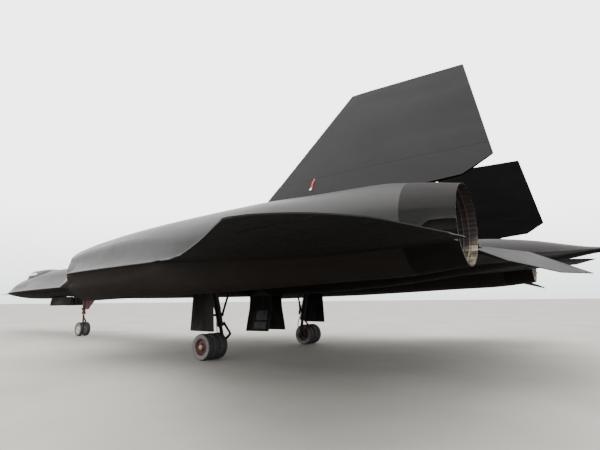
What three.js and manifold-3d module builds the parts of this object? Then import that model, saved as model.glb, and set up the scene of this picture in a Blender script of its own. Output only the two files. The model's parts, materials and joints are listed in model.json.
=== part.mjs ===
// A twin-engine, single-seat, supersonic reconnaissance jet, parked on its gear.
// Millimetres, +X towards the nose, +Y to port, +Z up. The origin is on the ground, on the
// centreline, half way along the aircraft. The airframe has a frame of its own: x runs ahead
// of the main axle, z is measured from the flat plane of the chines, and the whole airframe
// then leans nose down by GROUND_ATTITUDE. The landing gear stands upright in the ground's frame.

import * as THREE from 'three';
import { mergeVertices } from 'three/addons/utils/BufferGeometryUtils.js';
import Module from 'manifold-3d';

const wasm = await Module();
wasm.setup();

// Driving dimensions

const LENGTH = 30970;
const PROBE_TIP = 21600;                 // ahead of the main axle
const MAIN_AXLE_X = LENGTH / 2 - PROBE_TIP;
const CHINE_PLANE_HEIGHT = 2420;         // above the ground, at the main axle
const GROUND_ATTITUDE = 0.9;             // degrees, nose down
const SEAM = 0.3;                        // gap between pieces that touch
const SLOT = 10;                         // gap between pieces that move past each other
const THIN_EDGE = 7;                     // half the thickness of a sharp edge

const NACELLE_Y = 4050;
const NACELLE_FLANK = 950;               // from the engine's axis to where the wing joins it
const NOZZLE_EXIT = -7350;
const NOZZLE_LENGTH = 800;
const INLET_LIP = 3400;
const ENGINE_RADIUS = 620;
const ENGINE_SPAN = [-4400, 850];

const FIN_CANT = 15;                     // degrees, tops leaning inboard
const MAIN_TYRE = { radius: 350, width: 190 };
const NOSE_AXLE = 11400;
const NOSE_TYRE = { radius: 318, width: 170, offset: 150 };

// Materials

const finish = (color, roughness, metalness = 0) =>
  new THREE.MeshStandardMaterial({ color, roughness, metalness });

const BLACK_PAINT = 0x2b2a2b;
const WORN_PAINT = 0x343336;
const RADOME_PAINT = 0x262527;
const FIN_PAINT = 0x3a393c;
const STEEL = 0x6d6a66;
const HEAT_STEEL = 0x5a5048;
const GEAR_PAINT = 0x4a4643;
const RUBBER = 0x2a2928;

// Shape helpers

// A closed mesh becomes a solid that can be cut and joined.
function solid(geometry) {
  const bare = geometry.index ? geometry.toNonIndexed() : geometry.clone();
  bare.deleteAttribute('normal');
  bare.deleteAttribute('uv');
  const merged = mergeVertices(bare, 1e-3);
  const triangles = Uint32Array.from(merged.index.array);
  const build = () => new wasm.Manifold(new wasm.Mesh({
    numProp: 3,
    vertProperties: Float32Array.from(merged.attributes.position.array),
    triVerts: triangles,
  }));
  const body = build();
  if (body.volume() > 0) return body;
  for (let i = 0; i < triangles.length; i += 3) {
    [triangles[i], triangles[i + 1]] = [triangles[i + 1], triangles[i]];
  }
  return build();
}

function surface(body) {
  const mesh = body.getMesh();
  const geometry = new THREE.BufferGeometry();
  geometry.setAttribute('position', new THREE.BufferAttribute(mesh.vertProperties, 3));
  geometry.setIndex(new THREE.BufferAttribute(mesh.triVerts, 1));
  return geometry;
}

// The same shape on the other side of the aircraft.
function mirrored(geometry) {
  const other = geometry.clone().applyMatrix4(new THREE.Matrix4().makeScale(1, -1, 1));
  const index = other.index.array;
  for (let i = 0; i < index.length; i += 3) {
    [index[i], index[i + 1]] = [index[i + 1], index[i]];
  }
  return other;
}

const joined = (first, ...rest) => rest.reduce((body, next) => body.add(next), first);

// A skin over rings with the same number of points. Each ring runs anticlockwise
// seen from the far end of the row of rings, and both ends are closed by a fan.
function loft(rings) {
  const count = rings[0].length;
  const middle = (ring) =>
    ring.reduce((sum, p) => sum.add(p), new THREE.Vector3()).divideScalar(count);
  const points = [...rings.flat(), middle(rings[0]), middle(rings.at(-1))];
  const [start, end] = [points.length - 2, points.length - 1];
  const last = (rings.length - 1) * count;
  const index = [];
  for (let i = 0; i < count; i++) {
    const j = (i + 1) % count;
    for (let row = 0; row < last; row += count) {
      index.push(row + i, row + j, row + count + i);
      index.push(row + j, row + count + j, row + count + i);
    }
    index.push(start, j, i, end, last + i, last + j);
  }
  const geometry = new THREE.BufferGeometry().setFromPoints(points);
  geometry.setIndex(index);
  return geometry;
}

const box = (x, y, z) =>
  new THREE.BoxGeometry(x[1] - x[0], y[1] - y[0], z[1] - z[0])
    .translate((x[0] + x[1]) / 2, (y[0] + y[1]) / 2, (z[0] + z[1]) / 2);

const outline = (points) => new THREE.Shape(points.map(([a, b]) => new THREE.Vector2(a, b)));
const extruded = (points, depth) =>
  new THREE.ExtrudeGeometry(outline(points), { depth, bevelEnabled: false });

// A plan outline of [x, y] points, upright from z[0] to z[1].
const planPrism = (points, z) => extruded(points, z[1] - z[0]).translate(0, 0, z[0]);

// A side outline of [x, z] points, across from y[0] to y[1].
const sidePrism = (points, y) =>
  extruded(points, y[1] - y[0]).rotateX(Math.PI / 2).translate(0, y[1], 0);

function rod(from, to, radius, sides = 12, endRadius = radius) {
  const a = new THREE.Vector3(...from);
  const b = new THREE.Vector3(...to);
  const along = b.clone().sub(a);
  const turn = new THREE.Quaternion()
    .setFromUnitVectors(new THREE.Vector3(0, 1, 0), along.clone().normalize());
  return new THREE.CylinderGeometry(endRadius, radius, along.length(), sides)
    .applyQuaternion(turn)
    .translate(...a.add(b).divideScalar(2).toArray());
}

// A turned shape of [along, radius] points about the line from a point in a direction.
function turned(profile, from, direction, sides, start = 0) {
  const turn = new THREE.Quaternion().setFromUnitVectors(
    new THREE.Vector3(0, 1, 0), new THREE.Vector3(...direction).normalize());
  return new THREE.LatheGeometry(profile.map(([along, r]) => new THREE.Vector2(r, along)), sides, start)
    .applyQuaternion(turn)
    .translate(...from);
}

// The value in column `to` of a table, read off at `value` in column `from`.
function read(table, from, to, value) {
  const sorted = [...table].sort((a, b) => a[from] - b[from]);
  const upper = sorted.find((row) => row[from] >= value) ?? sorted.at(-1);
  const lower = sorted[Math.max(0, sorted.indexOf(upper) - 1)];
  const share = upper === lower ? 0 : (value - lower[from]) / (upper[from] - lower[from]);
  return THREE.MathUtils.lerp(lower[to], upper[to], Math.min(share, 1));
}

const rows = (names, ...values) =>
  values.map((row) => Object.fromEntries(names.map((name, i) => [name, row[i]])));

// The two halves of the aircraft and how they are put together

const aircraft = new THREE.Group();
aircraft.name = 'reconnaissance_jet';

const airframe = new THREE.Group();
airframe.position.set(MAIN_AXLE_X, 0, CHINE_PLANE_HEIGHT);
airframe.rotation.y = THREE.MathUtils.degToRad(GROUND_ATTITUDE);

const gear = new THREE.Group();
gear.position.set(MAIN_AXLE_X, 0, 0);
aircraft.add(airframe, gear);

function place(parent, name, geometry, material) {
  const mesh = new THREE.Mesh(geometry, material);
  mesh.name = name;
  parent.add(mesh);
}

function placePair(parent, name, geometry, material) {
  place(parent, `port_${name}`, geometry, material);
  place(parent, `starboard_${name}`, mirrored(geometry), material.clone());
}

// Cross-sections of the body and the nacelles

// How much of the half width, and of the round's radius, the round may take up.
const FAIRING_SHARE = 0.8;
const ROUND_SHARE = 0.97;

// Points from a side edge up to the crown, leaving the crown itself out: a fairing that
// starts level with the edge, then the round of the body out to the shoulder.
function quarter({ half, edge, height, radius, shoulder }) {
  const FAIRING_STEPS = 4;
  const ROUND_STEPS = 4;
  const reach = Math.min(shoulder, radius * ROUND_SHARE);
  const start = Math.acos(reach / radius);
  const centre = height - radius;
  const join = new THREE.Vector2(reach, Math.max(centre + radius * Math.sin(start), edge));
  const run = (join.y - edge) * Math.tan(start);
  const bend = new THREE.Vector2(Math.min(reach + run, half), edge);
  const fairing = new THREE.QuadraticBezierCurve(new THREE.Vector2(half, edge), bend, join);
  const points = fairing.getPoints(FAIRING_STEPS);
  for (let i = 1; i < ROUND_STEPS; i++) {
    const angle = start + ((Math.PI / 2 - start) * i) / ROUND_STEPS;
    points.push(new THREE.Vector2(
      radius * Math.cos(angle), Math.max(centre + radius * Math.sin(angle), edge)));
  }
  return points.map((p) => [p.x, p.y]);
}

// One ring at x about the line y = centreY. Each flank is an upright strip between two heights,
// and port and starboard may differ.
function bodyRing(x, centreY, { port, starboard, top, bottom, crown, keel, shoulder }) {
  const upper = ({ half, high }) =>
    quarter({ half, edge: high, height: top, radius: crown, shoulder });
  const lower = ({ half, low }) =>
    quarter({ half, edge: -low, height: -bottom, radius: keel, shoulder }).map(([y, z]) => [y, -z]);
  const points = [
    ...upper(port), [0, top],
    ...upper(starboard).map(([y, z]) => [-y, z]).reverse(),
    ...lower(starboard).map(([y, z]) => [-y, z]), [0, bottom],
    ...lower(port).reverse(),
  ];
  return points.map(([y, z]) => new THREE.Vector3(x, centreY + y, z));
}

// Wing

// Ribs: distance from the centreline, leading and trailing edge, greatest thickness, and how
// far the leading and trailing edges droop below the wing's own plane.
const RIBS = rows(
  ['y', 'lead', 'trail', 'thick', 'leadDroop', 'trailDroop'],
  [900, 7400, -8955, 420, 0, 0],
  [1450, 6450, -8794, 390, 0, 0],
  [2500, 4636, -8488, 352, 0, 0],
  [3100, 3600, -7790, 330, 0, 0],
  [4700, -291, -7500, 212, 0, 62],
  [5000, -1020, -7510, 190, 0, 68],
  [5800, -2300, -7522, 160, 130, 114],
  [6600, -3590, -7288, 125, 236, 93],
  [7000, -4230, -7171, 105, 264, 86],
  [7300, -4710, -7084, 90, 287, 101],
  [7650, -5275, -6981, 74, 285, 126],
  [7950, -5760, -6894, 60, 282, 160],
  [8350, -6400, -6777, 32, 266, 224],
  [8475, -6620, -6740, 18, 255, 253],
);
const WING_TIP = RIBS.at(-1).y;

// How far the elevon hinges stand ahead of the trailing edge, as a share of the chord.
const FLAT_SHARE = 0.3;
const CHORD_SHARES = [0, 0.03, 0.1, 0.22, 0.36, 0.5, 0.65, 0.8, 0.92, 1];

// The wing's plane leaves the chine plane at one station and lies `depth` below it from the next.
const SINK = { start: -2000, full: -6500, depth: 100 };
const smoothStep = (share) => THREE.MathUtils.smoothstep(share, 0, 1);
const sinkAt = (x) => SINK.depth * smoothStep((SINK.start - x) / (SINK.start - SINK.full));

const ribAt = (y) => Object.fromEntries(
  Object.keys(RIBS[0]).map((column) => [column, read(RIBS, 'y', column, y)]));

// Half the wing's thickness, a double arc from edge to edge, and its drooped middle line.
function wingShape(rib, share) {
  const half = THIN_EDGE + 2 * (rib.thick - 2 * THIN_EDGE) * share * (1 - share);
  const bend = Math.max(0, 1 - share / (1 - FLAT_SHARE));
  const droop = rib.trailDroop + (rib.leadDroop - rib.trailDroop) * bend * bend;
  return { half, middle: -droop - sinkAt(rib.lead - share * (rib.lead - rib.trail)) };
}

// The same at a point. Beyond the edges the shape goes on as the edge itself.
function wingAt(x, y) {
  const rib = ribAt(y);
  const share = (rib.lead - x) / (rib.lead - rib.trail);
  return wingShape(rib, THREE.MathUtils.clamp(share, 0, 1));
}

function wingRing(rib) {
  const at = (share, side) => {
    const { half, middle } = wingShape(rib, share);
    return new THREE.Vector3(rib.lead - share * (rib.lead - rib.trail), rib.y, middle + side * half);
  };
  return [
    ...[...CHORD_SHARES].reverse().map((share) => at(share, 1)),
    ...CHORD_SHARES.map((share) => at(share, -1)),
  ];
}

const wing = solid(loft(RIBS.map(wingRing)));

// Fuselage

// Stations: x, half width at the chine, top, bottom, and the radii of the rounds above and below.
const BODY = rows(
  ['x', 'half', 'top', 'bottom', 'crown', 'round'],
  [-9250, 45, 20, -45, 60, 820],
  [-8860, 250, 65, -85, 260, 820],
  [-8500, 480, 140, -150, 420, 820],
  [-7800, 940, 305, -215, 620, 820],
  [-7120, 1090, 410, -290, 700, 900],
  [-6000, 1290, 505, -410, 780, 1150],
  [-4300, 1450, 630, -570, 820, 1450],
  [-2000, 1450, 760, -680, 820, 1450],
  [0, 1450, 840, -715, 820, 1450],
  [3000, 1450, 910, -680, 820, 1450],
  [6450, 1450, 985, -620, 820, 1450],
  [7600, 1440, 1005, -590, 820, 1400],
  [9500, 1420, 1030, -550, 820, 1200],
  [12000, 1350, 1055, -500, 820, 820],
  [13740, 1270, 1066, -445, 820, 820],
  [15100, 1190, 1010, -415, 790, 820],
  [16300, 1080, 900, -385, 720, 820],
  [17490, 900, 755, -330, 580, 820],
  [18490, 670, 580, -245, 450, 820],
  [19420, 400, 330, -145, 270, 820],
  [20050, 190, 150, -65, 130, 820],
  [20400, 45, 40, -25, 45, 820],
);
const TAIL_END = BODY[0].x;
const TAIL_RISE = 1450;                   // how far ahead of its end the tail's chine starts to rise
const SHOULDER = 700;

// The ring at a station, or one that lies `skin` inside it.
function fuselageRing({ x, half, top, bottom, crown, round }, skin = 0) {
  const wingEdge = wingAt(x, Math.max(half, RIBS[0].y)).half;
  const edge = Math.max(Math.min(wingEdge, top * 0.8, -bottom * 0.8) - skin, 1);
  const middle = -sinkAt(x) * smoothStep((x - TAIL_END) / TAIL_RISE);
  const side = { half: half - skin, high: middle + edge, low: middle - edge };
  const keel = Math.min(round, Math.max(half, -bottom)) - skin;
  return bodyRing(x, 0, {
    port: side, starboard: side, top: top - skin, bottom: bottom + skin,
    crown: crown - skin, keel, shoulder: Math.min(SHOULDER - skin, side.half * FAIRING_SHARE) });
}

const fuselage = solid(loft(BODY.map((station) => fuselageRing(station))));

// Where the fuselage is parted, from the tail to the nose.
const BREAKS = { tail: -4300, wing: 6450, cockpit: 14100, nose: 18490 };
const ALL_Y = [-9000, 9000];
const ALL_Z = [-3000, 5000];
const slice = (body, x) => body.intersect(solid(box(x, ALL_Y, ALL_Z)));

// The hood over the cockpit: stations with half width and top, standing on the body.
const HOOD = rows(
  ['x', 'half', 'top'],
  [14200, 330, 1080],
  [15150, 500, 1150],
  [16280, 510, 1140],
  [16600, 480, 1075],
  [17150, 330, 880],
  [17560, 120, 745],
);
const HOOD_FOOT = 300;

function hoodRing({ x, half, top }, inset = 0) {
  const wide = half - inset;
  const high = top - inset;
  const port = [[wide, HOOD_FOOT], [wide, high - 330], [wide * 0.93, high - 170],
    [wide * 0.62, high - 40], [wide * 0.3, high - 8]];
  const points = [...port, [0, high], ...port.map(([y, z]) => [-y, z]).reverse()];
  return points.map(([y, z]) => new THREE.Vector3(x, y, z));
}

const PANE_GAP = 1.5;
// The canopy's aft edge, its front edge at the top and at the sill, and the sill's height.
const CANOPY = { aft: 15150, front: 16610, frontSill: 16545, sill: 760, above: 1100 };
const WINDSHIELD = { front: 17600, half: 560 };
const SHELL = 38;

const hood = solid(loft(HOOD.map((station) => hoodRing(station))));
const hoodInside = solid(loft(HOOD.slice(1, 5).map((station) =>
  hoodRing({ ...station, x: station.x + (station.x > CANOPY.aft ? SHELL : -SHELL) }, SHELL))));
const cockpitWell = solid(planPrism(
  [[15200, -400], [17050, -400], [17300, -250], [17300, 250], [17050, 400], [15200, 400]],
  [-120, CANOPY.sill + 60]));

const cowl = fuselage.add(hood);
const canopyZone = (gap) => solid(sidePrism([
  [CANOPY.aft + gap, CANOPY.sill + gap], [CANOPY.frontSill - gap, CANOPY.sill + gap],
  [CANOPY.front - gap, CANOPY.above], [CANOPY.front - gap, 2000], [CANOPY.aft + gap, 2000]],
  [-900, 900]));
const windshieldZone = (gap) => solid(sidePrism([
  [CANOPY.frontSill + gap, CANOPY.sill + gap], [WINDSHIELD.front - gap, CANOPY.sill + gap],
  [WINDSHIELD.front - gap, 2000], [CANOPY.front + gap, 2000], [CANOPY.front + gap, CANOPY.above]],
  [gap - WINDSHIELD.half, WINDSHIELD.half - gap]));

// Side windows in the canopy and two raked panes in the windshield.
const SIDE_WINDOW = [[15560, 850], [15640, 985], [16330, 985], [16460, 850]];
const FRONT_PANE = [[16680, 60], [16680, 330], [16860, 330], [17260, 150], [17330, 60]];

// An outline with every side moved inwards.
function inset(points, by) {
  const corners = points.map(([a, b]) => new THREE.Vector2(a, b));
  const turn = Math.sign(THREE.ShapeUtils.area(corners));
  const inward = (from, to) => {
    const along = to.clone().sub(from).normalize();
    return new THREE.Vector2(-along.y, along.x).multiplyScalar(turn);
  };
  return corners.map((corner, i) => {
    const before = inward(corners.at(i - 1), corner);
    const after = inward(corner, corners[(i + 1) % corners.length]);
    const shift = before.clone().add(after).multiplyScalar(by / (1 + before.dot(after)));
    return corner.clone().add(shift).toArray();
  });
}

const sideOpening = (gap) => solid(sidePrism(inset(SIDE_WINDOW, gap), [200, 900]));
const frontOpening = (gap) => solid(planPrism(inset(FRONT_PANE, gap), [CANOPY.sill + 20 + gap, 1400]));
const bothSides = (body) => body.add(solid(mirrored(surface(body))));

const canopyShell = cowl.intersect(canopyZone(SLOT)).subtract(hoodInside);
const windshieldShell = cowl.intersect(windshieldZone(SEAM)).subtract(hoodInside);

const canopyFrame = canopyShell.subtract(bothSides(sideOpening(0)));
const windshieldFrame = windshieldShell.subtract(bothSides(frontOpening(0)));
const sideGlass = canopyShell.intersect(sideOpening(PANE_GAP));
const frontGlass = windshieldShell.intersect(frontOpening(PANE_GAP));

const body = cowl
  .subtract(canopyZone(0))
  .subtract(windshieldZone(-SEAM))
  .subtract(cockpitWell);

// Wells for the nose gear and the main wheels, and the doors that are cut from the same skin

const DOOR_SKIN = 30;
const NOSE_BAY = { x: [11750, 14000], half: 420 };
const WHEEL_BAY = { x: [-420, 520], y: [220, 1250], top: 140 };
const LEG_BAY = { x: [-420, 520], y: [1460, 2900], top: 60 };

// The skin of the body inside a plan rectangle, DOOR_SKIN thick.
const inner = solid(loft(BODY.filter(({ x }) => x > -3000 && x < 18000)
  .map((station) => fuselageRing(station, DOOR_SKIN))));
const bellyPatch = (x, y, gap) => body
  .intersect(solid(box([x[0] + gap, x[1] - gap], [y[0] + gap, y[1] - gap], [-900, -5])))
  .subtract(inner);

const noseDoor = bellyPatch(NOSE_BAY.x, [0, NOSE_BAY.half], SLOT);
const mainDoor = bellyPatch(WHEEL_BAY.x, WHEEL_BAY.y, SLOT);

const noseWell = solid(box(NOSE_BAY.x, [-NOSE_BAY.half, NOSE_BAY.half], [-900, -60]))
  .add(solid(box([10700, NOSE_BAY.x[0] + 1], [-220, 220], [-900, -60])));
const wheelWell = bothSides(solid(box(WHEEL_BAY.x, WHEEL_BAY.y, [-900, WHEEL_BAY.top])));
const legWell = solid(box(LEG_BAY.x, LEG_BAY.y, [-900, LEG_BAY.top]));

const shell = body.subtract(noseWell).subtract(wheelWell);

// Flat pads that a jack lifts on: under the body ahead of the wing, and under each wing.
const jackPad = (x, y, z) => solid(rod([x, y, z[0]], [x, y, z[1]], 70, 16));
const bodyPad = jackPad(9900, 0, [-575, -450]);
const wingPad = jackPad(1400, 2100, [-190, -60]);

place(airframe, 'tail_cone', surface(slice(shell, [-9400, BREAKS.tail - SEAM])), finish(BLACK_PAINT, 0.6));
place(airframe, 'centre_fuselage', surface(slice(shell, [BREAKS.tail, BREAKS.wing - SEAM])),
  finish(BLACK_PAINT, 0.62));
place(airframe, 'mid_fuselage', surface(slice(shell, [BREAKS.wing, BREAKS.cockpit - SEAM]).add(bodyPad)),
  finish(BLACK_PAINT, 0.62));
place(airframe, 'cockpit_section', surface(slice(shell, [BREAKS.cockpit, BREAKS.nose - SEAM])),
  finish(BLACK_PAINT, 0.6));
place(airframe, 'nose_cone', surface(slice(shell, [BREAKS.nose, 20500])), finish(RADOME_PAINT, 0.55));

place(airframe, 'pitot_probe', surface(joined(
  solid(turned([[0, 0], [0, 42], [650, 26], [1050, 12], [1199, 7], [1199, 0]],
    [20400 + SEAM, 0, 5], [1, 0, 0], 12)))), finish(STEEL, 0.4, 0.8));
place(airframe, 'fuel_dump_mast', rod([-9250 - SEAM, 0, -12], [-9369, 0, -12], 26, 12),
  finish(STEEL, 0.5, 0.7));

place(airframe, 'canopy_frame', surface(canopyFrame), finish(BLACK_PAINT, 0.55));
placePair(airframe, 'canopy_glass', surface(sideGlass), finish(0x3a3f3d, 0.08));
place(airframe, 'windshield_frame', surface(windshieldFrame), finish(BLACK_PAINT, 0.55));
placePair(airframe, 'windshield_glass', surface(frontGlass), finish(0x8a7a52, 0.08));

// Cockpit fittings, standing on the floor of the well

const FLOOR = -120 + SEAM;
const ejectionSeat = joined(
  solid(box([15350, 15900], [-240, 240], [FLOOR, 180])),
  solid(sidePrism([[15230, 150], [15420, 150], [15350, 860], [15230, 860]], [-240, 240])),
  solid(box([15260, 15400], [-150, 150], [820, 1000])));
place(airframe, 'ejection_seat', surface(ejectionSeat), finish(0x5b5a4c, 0.85));
place(airframe, 'instrument_panel',
  sidePrism([[16700, 250], [16790, 250], [16960, 720], [16740, 720]], [-370, 370]),
  finish(0x1d1e1f, 0.6));
place(airframe, 'control_stick', surface(joined(
  solid(rod([16230, 0, FLOOR], [16230, 0, 280], 22, 10)),
  solid(rod([16230, 0, 270], [16230, 0, 420], 34, 10)))), finish(0x1b1b1b, 0.5));

// Nacelles

// Stations: x, width to the wing on each side, top and bottom.
const NACELLE = rows(
  ['x', 'outboard', 'inboard', 'top', 'bottom'],
  [NOZZLE_EXIT, 660, 660, 790, -490],
  [-7050, 700, 700, 855, -520],
  [-6550, 770, 770, 940, -570],
  [-6100, 830, 850, 1002, -597],
  [-4900, 900, 930, 1040, -622],
  [-3300, 940, NACELLE_FLANK, 1095, -668],
  [-1020, NACELLE_FLANK, NACELLE_FLANK, 1070, -714],
  [500, 925, NACELLE_FLANK, 1020, -724],
  [1500, 895, NACELLE_FLANK, 960, -738],
  [2500, 845, 900, 880, -746],
  [3100, 785, 815, 810, -757],
  [INLET_LIP, 745, 745, 770, -757],
);
const LIP_THICKNESS = 22;
const NOZZLE_ROUND = -6800;               // aft of this the flanks are round

const ductCentre = (x) => 20 + ((INLET_LIP - x) / (INLET_LIP - NOZZLE_EXIT)) * 145;

function nacelleRing({ x, outboard, inboard, top, bottom }) {
  const deep = (top - bottom) / 2;
  const centre = (top + bottom) / 2;
  const flank = (half, y) => {
    if (x < NOZZLE_ROUND) return { half, high: centre, low: centre };
    const wall = wingAt(x, y);
    return { half, high: wall.middle + wall.half, low: wall.middle - wall.half };
  };
  return bodyRing(x, NACELLE_Y, {
    port: flank(outboard, NACELLE_Y + outboard),
    starboard: flank(inboard, NACELLE_Y - inboard),
    top, bottom, crown: deep, keel: deep, shoulder: deep,
  });
}

const ROUND_SIDES = 24;
function roundRing(x, radius, z = ductCentre(x)) {
  return Array.from({ length: ROUND_SIDES }, (_, i) => {
    const angle = (2 * Math.PI * i) / ROUND_SIDES;
    return new THREE.Vector3(x, NACELLE_Y + radius * Math.cos(angle), z + radius * Math.sin(angle));
  });
}

// The duct through a nacelle, from the nozzle to the inlet lip.
const DUCT = rows(
  ['x', 'radius'],
  [NOZZLE_EXIT - 5, 655 - LIP_THICKNESS],
  [-6000, 560],
  [ENGINE_SPAN[0] - 1, ENGINE_RADIUS],
  [ENGINE_SPAN[1] + 1, ENGINE_RADIUS],
  [1450, 705],
  [2300, 715],
  [INLET_LIP + 5, 742 - LIP_THICKNESS],
);

const nacelleSolid = solid(loft(NACELLE.map(nacelleRing)))
  .subtract(solid(loft(DUCT.map(({ x, radius }) => roundRing(x, radius)))));

// The spike slides on a tube that four struts carry across the duct.
const SPIKE_TIP = [5540, 3935, -263];
const SPIKE_ROOT = [1900, 4140, 165];
const spikeAxis = new THREE.Vector3(...SPIKE_TIP).sub(new THREE.Vector3(...SPIKE_ROOT));
const SPIKE_LENGTH = spikeAxis.length();
const SPIKE_TRAVEL = 660;
const GUIDE_RADIUS = 90;
const GUIDE_SPAN = [-850, 500];           // along the spike's axis, from its root
const STRUT = { x: [1050, 1180], reach: 710, half: 20 };
const [guideAft, guideFore] = GUIDE_SPAN.map((along) =>
  new THREE.Vector3(...SPIKE_ROOT).addScaledVector(spikeAxis, along / SPIKE_LENGTH));
const strutZ = ductCentre(STRUT.x[0]) + 100;
const strutY = NACELLE_Y + 100;
const around = (centre, half) => [centre - half, centre + half];
const struts = joined(
  solid(box(STRUT.x, around(NACELLE_Y, STRUT.reach), around(strutZ, STRUT.half))),
  solid(box(STRUT.x, around(strutY, STRUT.half), around(strutZ, STRUT.reach))),
  solid(rod(guideAft.toArray(), guideFore.toArray(), GUIDE_RADIUS, 12)));

const split = NOZZLE_EXIT + NOZZLE_LENGTH;
placePair(airframe, 'nacelle',
  surface(slice(nacelleSolid, [split + SEAM, 4000]).add(struts)), finish(WORN_PAINT, 0.58));
placePair(airframe, 'nozzle', surface(slice(nacelleSolid, [NOZZLE_EXIT - 1, split])),
  finish(HEAT_STEEL, 0.45, 0.6));
placePair(airframe, 'engine',
  loft(ENGINE_SPAN.map((x) => roundRing(x, ENGINE_RADIUS - SEAM))), finish(STEEL, 0.5, 0.8));

// Spike: a bore for the guide at its root, a long shoulder and a sharp cone.
const spikeProfile = [
  [60, GUIDE_RADIUS + SLOT], [0, 360], [500, 520], [1000, 560], [1400, 530],
  [SPIKE_LENGTH - 60, 14], [SPIKE_LENGTH, 0],
  [1400, 0], [1400, GUIDE_RADIUS + SLOT], [60, GUIDE_RADIUS + SLOT]];
placePair(airframe, 'inlet_spike', surface(solid(
  turned(spikeProfile, SPIKE_ROOT, spikeAxis.toArray(), 24))), finish(RADOME_PAINT, 0.5));

// Wing panels, parted from the body and the nacelle by upright faces

// The body's and the nacelle's plan outlines, moved out by the seam.
const ROOT_END = -7800;
const ROOT_EDGE = 4900;
// Aft of the nozzle the inner panel ends at the elevon's outer side.
const INNER_EDGE = 3170;
const bodySide = BODY.filter(({ x }) => x >= ROOT_END && x <= 7600)
  .map(({ x, half }) => [x, half + SEAM]);
const innerFlank = NACELLE.map(({ x, inboard }) => [x, NACELLE_Y - inboard - SEAM]);
const outerFlank = NACELLE.map(({ x, outboard }) => [x, NACELLE_Y + outboard + SEAM]);
const innerPlan = [
  ...bodySide, [7600, 3500], [INLET_LIP + 200, NACELLE_Y - 700], ...innerFlank.toReversed(),
  [NOZZLE_EXIT, INNER_EDGE], [ROOT_END, INNER_EDGE]];
const outerPlan = [
  ...outerFlank, [INLET_LIP, WING_TIP + 100], [-9500, WING_TIP + 100], [-9500, ROOT_EDGE],
  [NOZZLE_EXIT, ROOT_EDGE]];

// Elevons: the two ends of each hinge, and the side faces of the elevon.
const ELEVONS = rows(
  ['name', 'inner', 'outer'],
  ['inner_elevon', [-7800, 1020], [-7080, 3150]],
  ['outer_elevon', [-6150, 4930], [-6260, 7650]],
);

const ELEVON_SIDE_GAP = 30;
const BEHIND_WING = -9600;

const hingeHeight = ([x, y]) => wingAt(x, y).middle;

const hingeAlong = ({ inner, outer }) =>
  new THREE.Vector2(outer[0] - inner[0], outer[1] - inner[1]).normalize();

// The space behind a line that lies `ahead` of a hinge, between faces `beside` the elevon's.
function behindHinge(row, ahead, beside) {
  const along = hingeAlong(row);
  const OVERRUN = 1500;
  const [first, second] = [[row.inner, -OVERRUN], [row.outer, OVERRUN]].map(([[x, y], by]) => [
    x + along.y * ahead + along.x * by, y - along.x * ahead + along.y * by]);
  const area = [first, second, [BEHIND_WING, second[1]], [BEHIND_WING, first[1]]];
  const width = [row.inner[1] - beside, row.outer[1] + beside];
  return solid(planPrism(area, ALL_Z)).intersect(solid(box([BEHIND_WING, 0], width, ALL_Z)));
}

// A blade behind the hinge with a round nose about it, trimmed to its two side faces.
function elevon(row) {
  const along = hingeAlong(row);
  const hingePoint = ([x, y], by) => [x + along.x * by, y + along.y * by, hingeHeight([x, y])];
  const radius = ([x, y]) => wingAt(x, y).half - 1;
  const nose = rod(hingePoint(row.inner, -100), hingePoint(row.outer, 100), radius(row.inner), 16,
    radius(row.outer));
  const width = solid(box([BEHIND_WING, 0], [row.inner[1], row.outer[1]], ALL_Z));
  return wing.intersect(behindHinge(row, 0, 0)).add(solid(nose).intersect(width));
}

function elevonGap(row) {
  const ahead = Math.max(...[row.inner, row.outer].map(([x, y]) => wingAt(x, y).half));
  return behindHinge(row, ahead + SLOT, ELEVON_SIDE_GAP);
}

const [innerElevon, outerElevon] = ELEVONS;
const innerWing = wing.intersect(solid(planPrism(innerPlan, ALL_Z)))
  .subtract(elevonGap(innerElevon))
  .subtract(legWell);
const outerWing = wing.intersect(solid(planPrism(outerPlan, ALL_Z)))
  .subtract(elevonGap(outerElevon));
placePair(airframe, 'inner_wing', surface(innerWing.add(wingPad)), finish(BLACK_PAINT, 0.6));
placePair(airframe, 'outer_wing', surface(outerWing), finish(BLACK_PAINT, 0.6));

// How far each elevon hangs down at rest, in degrees.
const DROOP = {
  port_inner_elevon: 24.5, starboard_inner_elevon: 1,
  port_outer_elevon: 0, starboard_outer_elevon: 19,
};

// A shape turned about a line through two points, by an angle in degrees.
function turnedAbout(geometry, from, to, degrees) {
  const a = new THREE.Vector3(...from);
  const axis = new THREE.Vector3(...to).sub(a).normalize();
  return geometry
    .translate(...a.clone().negate().toArray())
    .applyMatrix4(new THREE.Matrix4().makeRotationAxis(axis, THREE.MathUtils.degToRad(degrees)))
    .translate(...a.toArray());
}

for (const row of ELEVONS) {
  const shape = surface(elevon(row));
  for (const [side, sign] of [['port', 1], ['starboard', -1]]) {
    const name = `${side}_${row.name}`;
    const end = ([x, y]) => [x, sign * y, hingeHeight([x, y])];
    const flat = sign > 0 ? shape.clone() : mirrored(shape);
    const ends = sign > 0 ? [row.inner, row.outer] : [row.outer, row.inner];
    place(airframe, name, turnedAbout(flat, ...ends.map(end), -DROOP[name]), finish(BLACK_PAINT, 0.6));
  }
}

// Fins: a fixed stub on each nacelle and an all-moving rudder on a post

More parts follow.
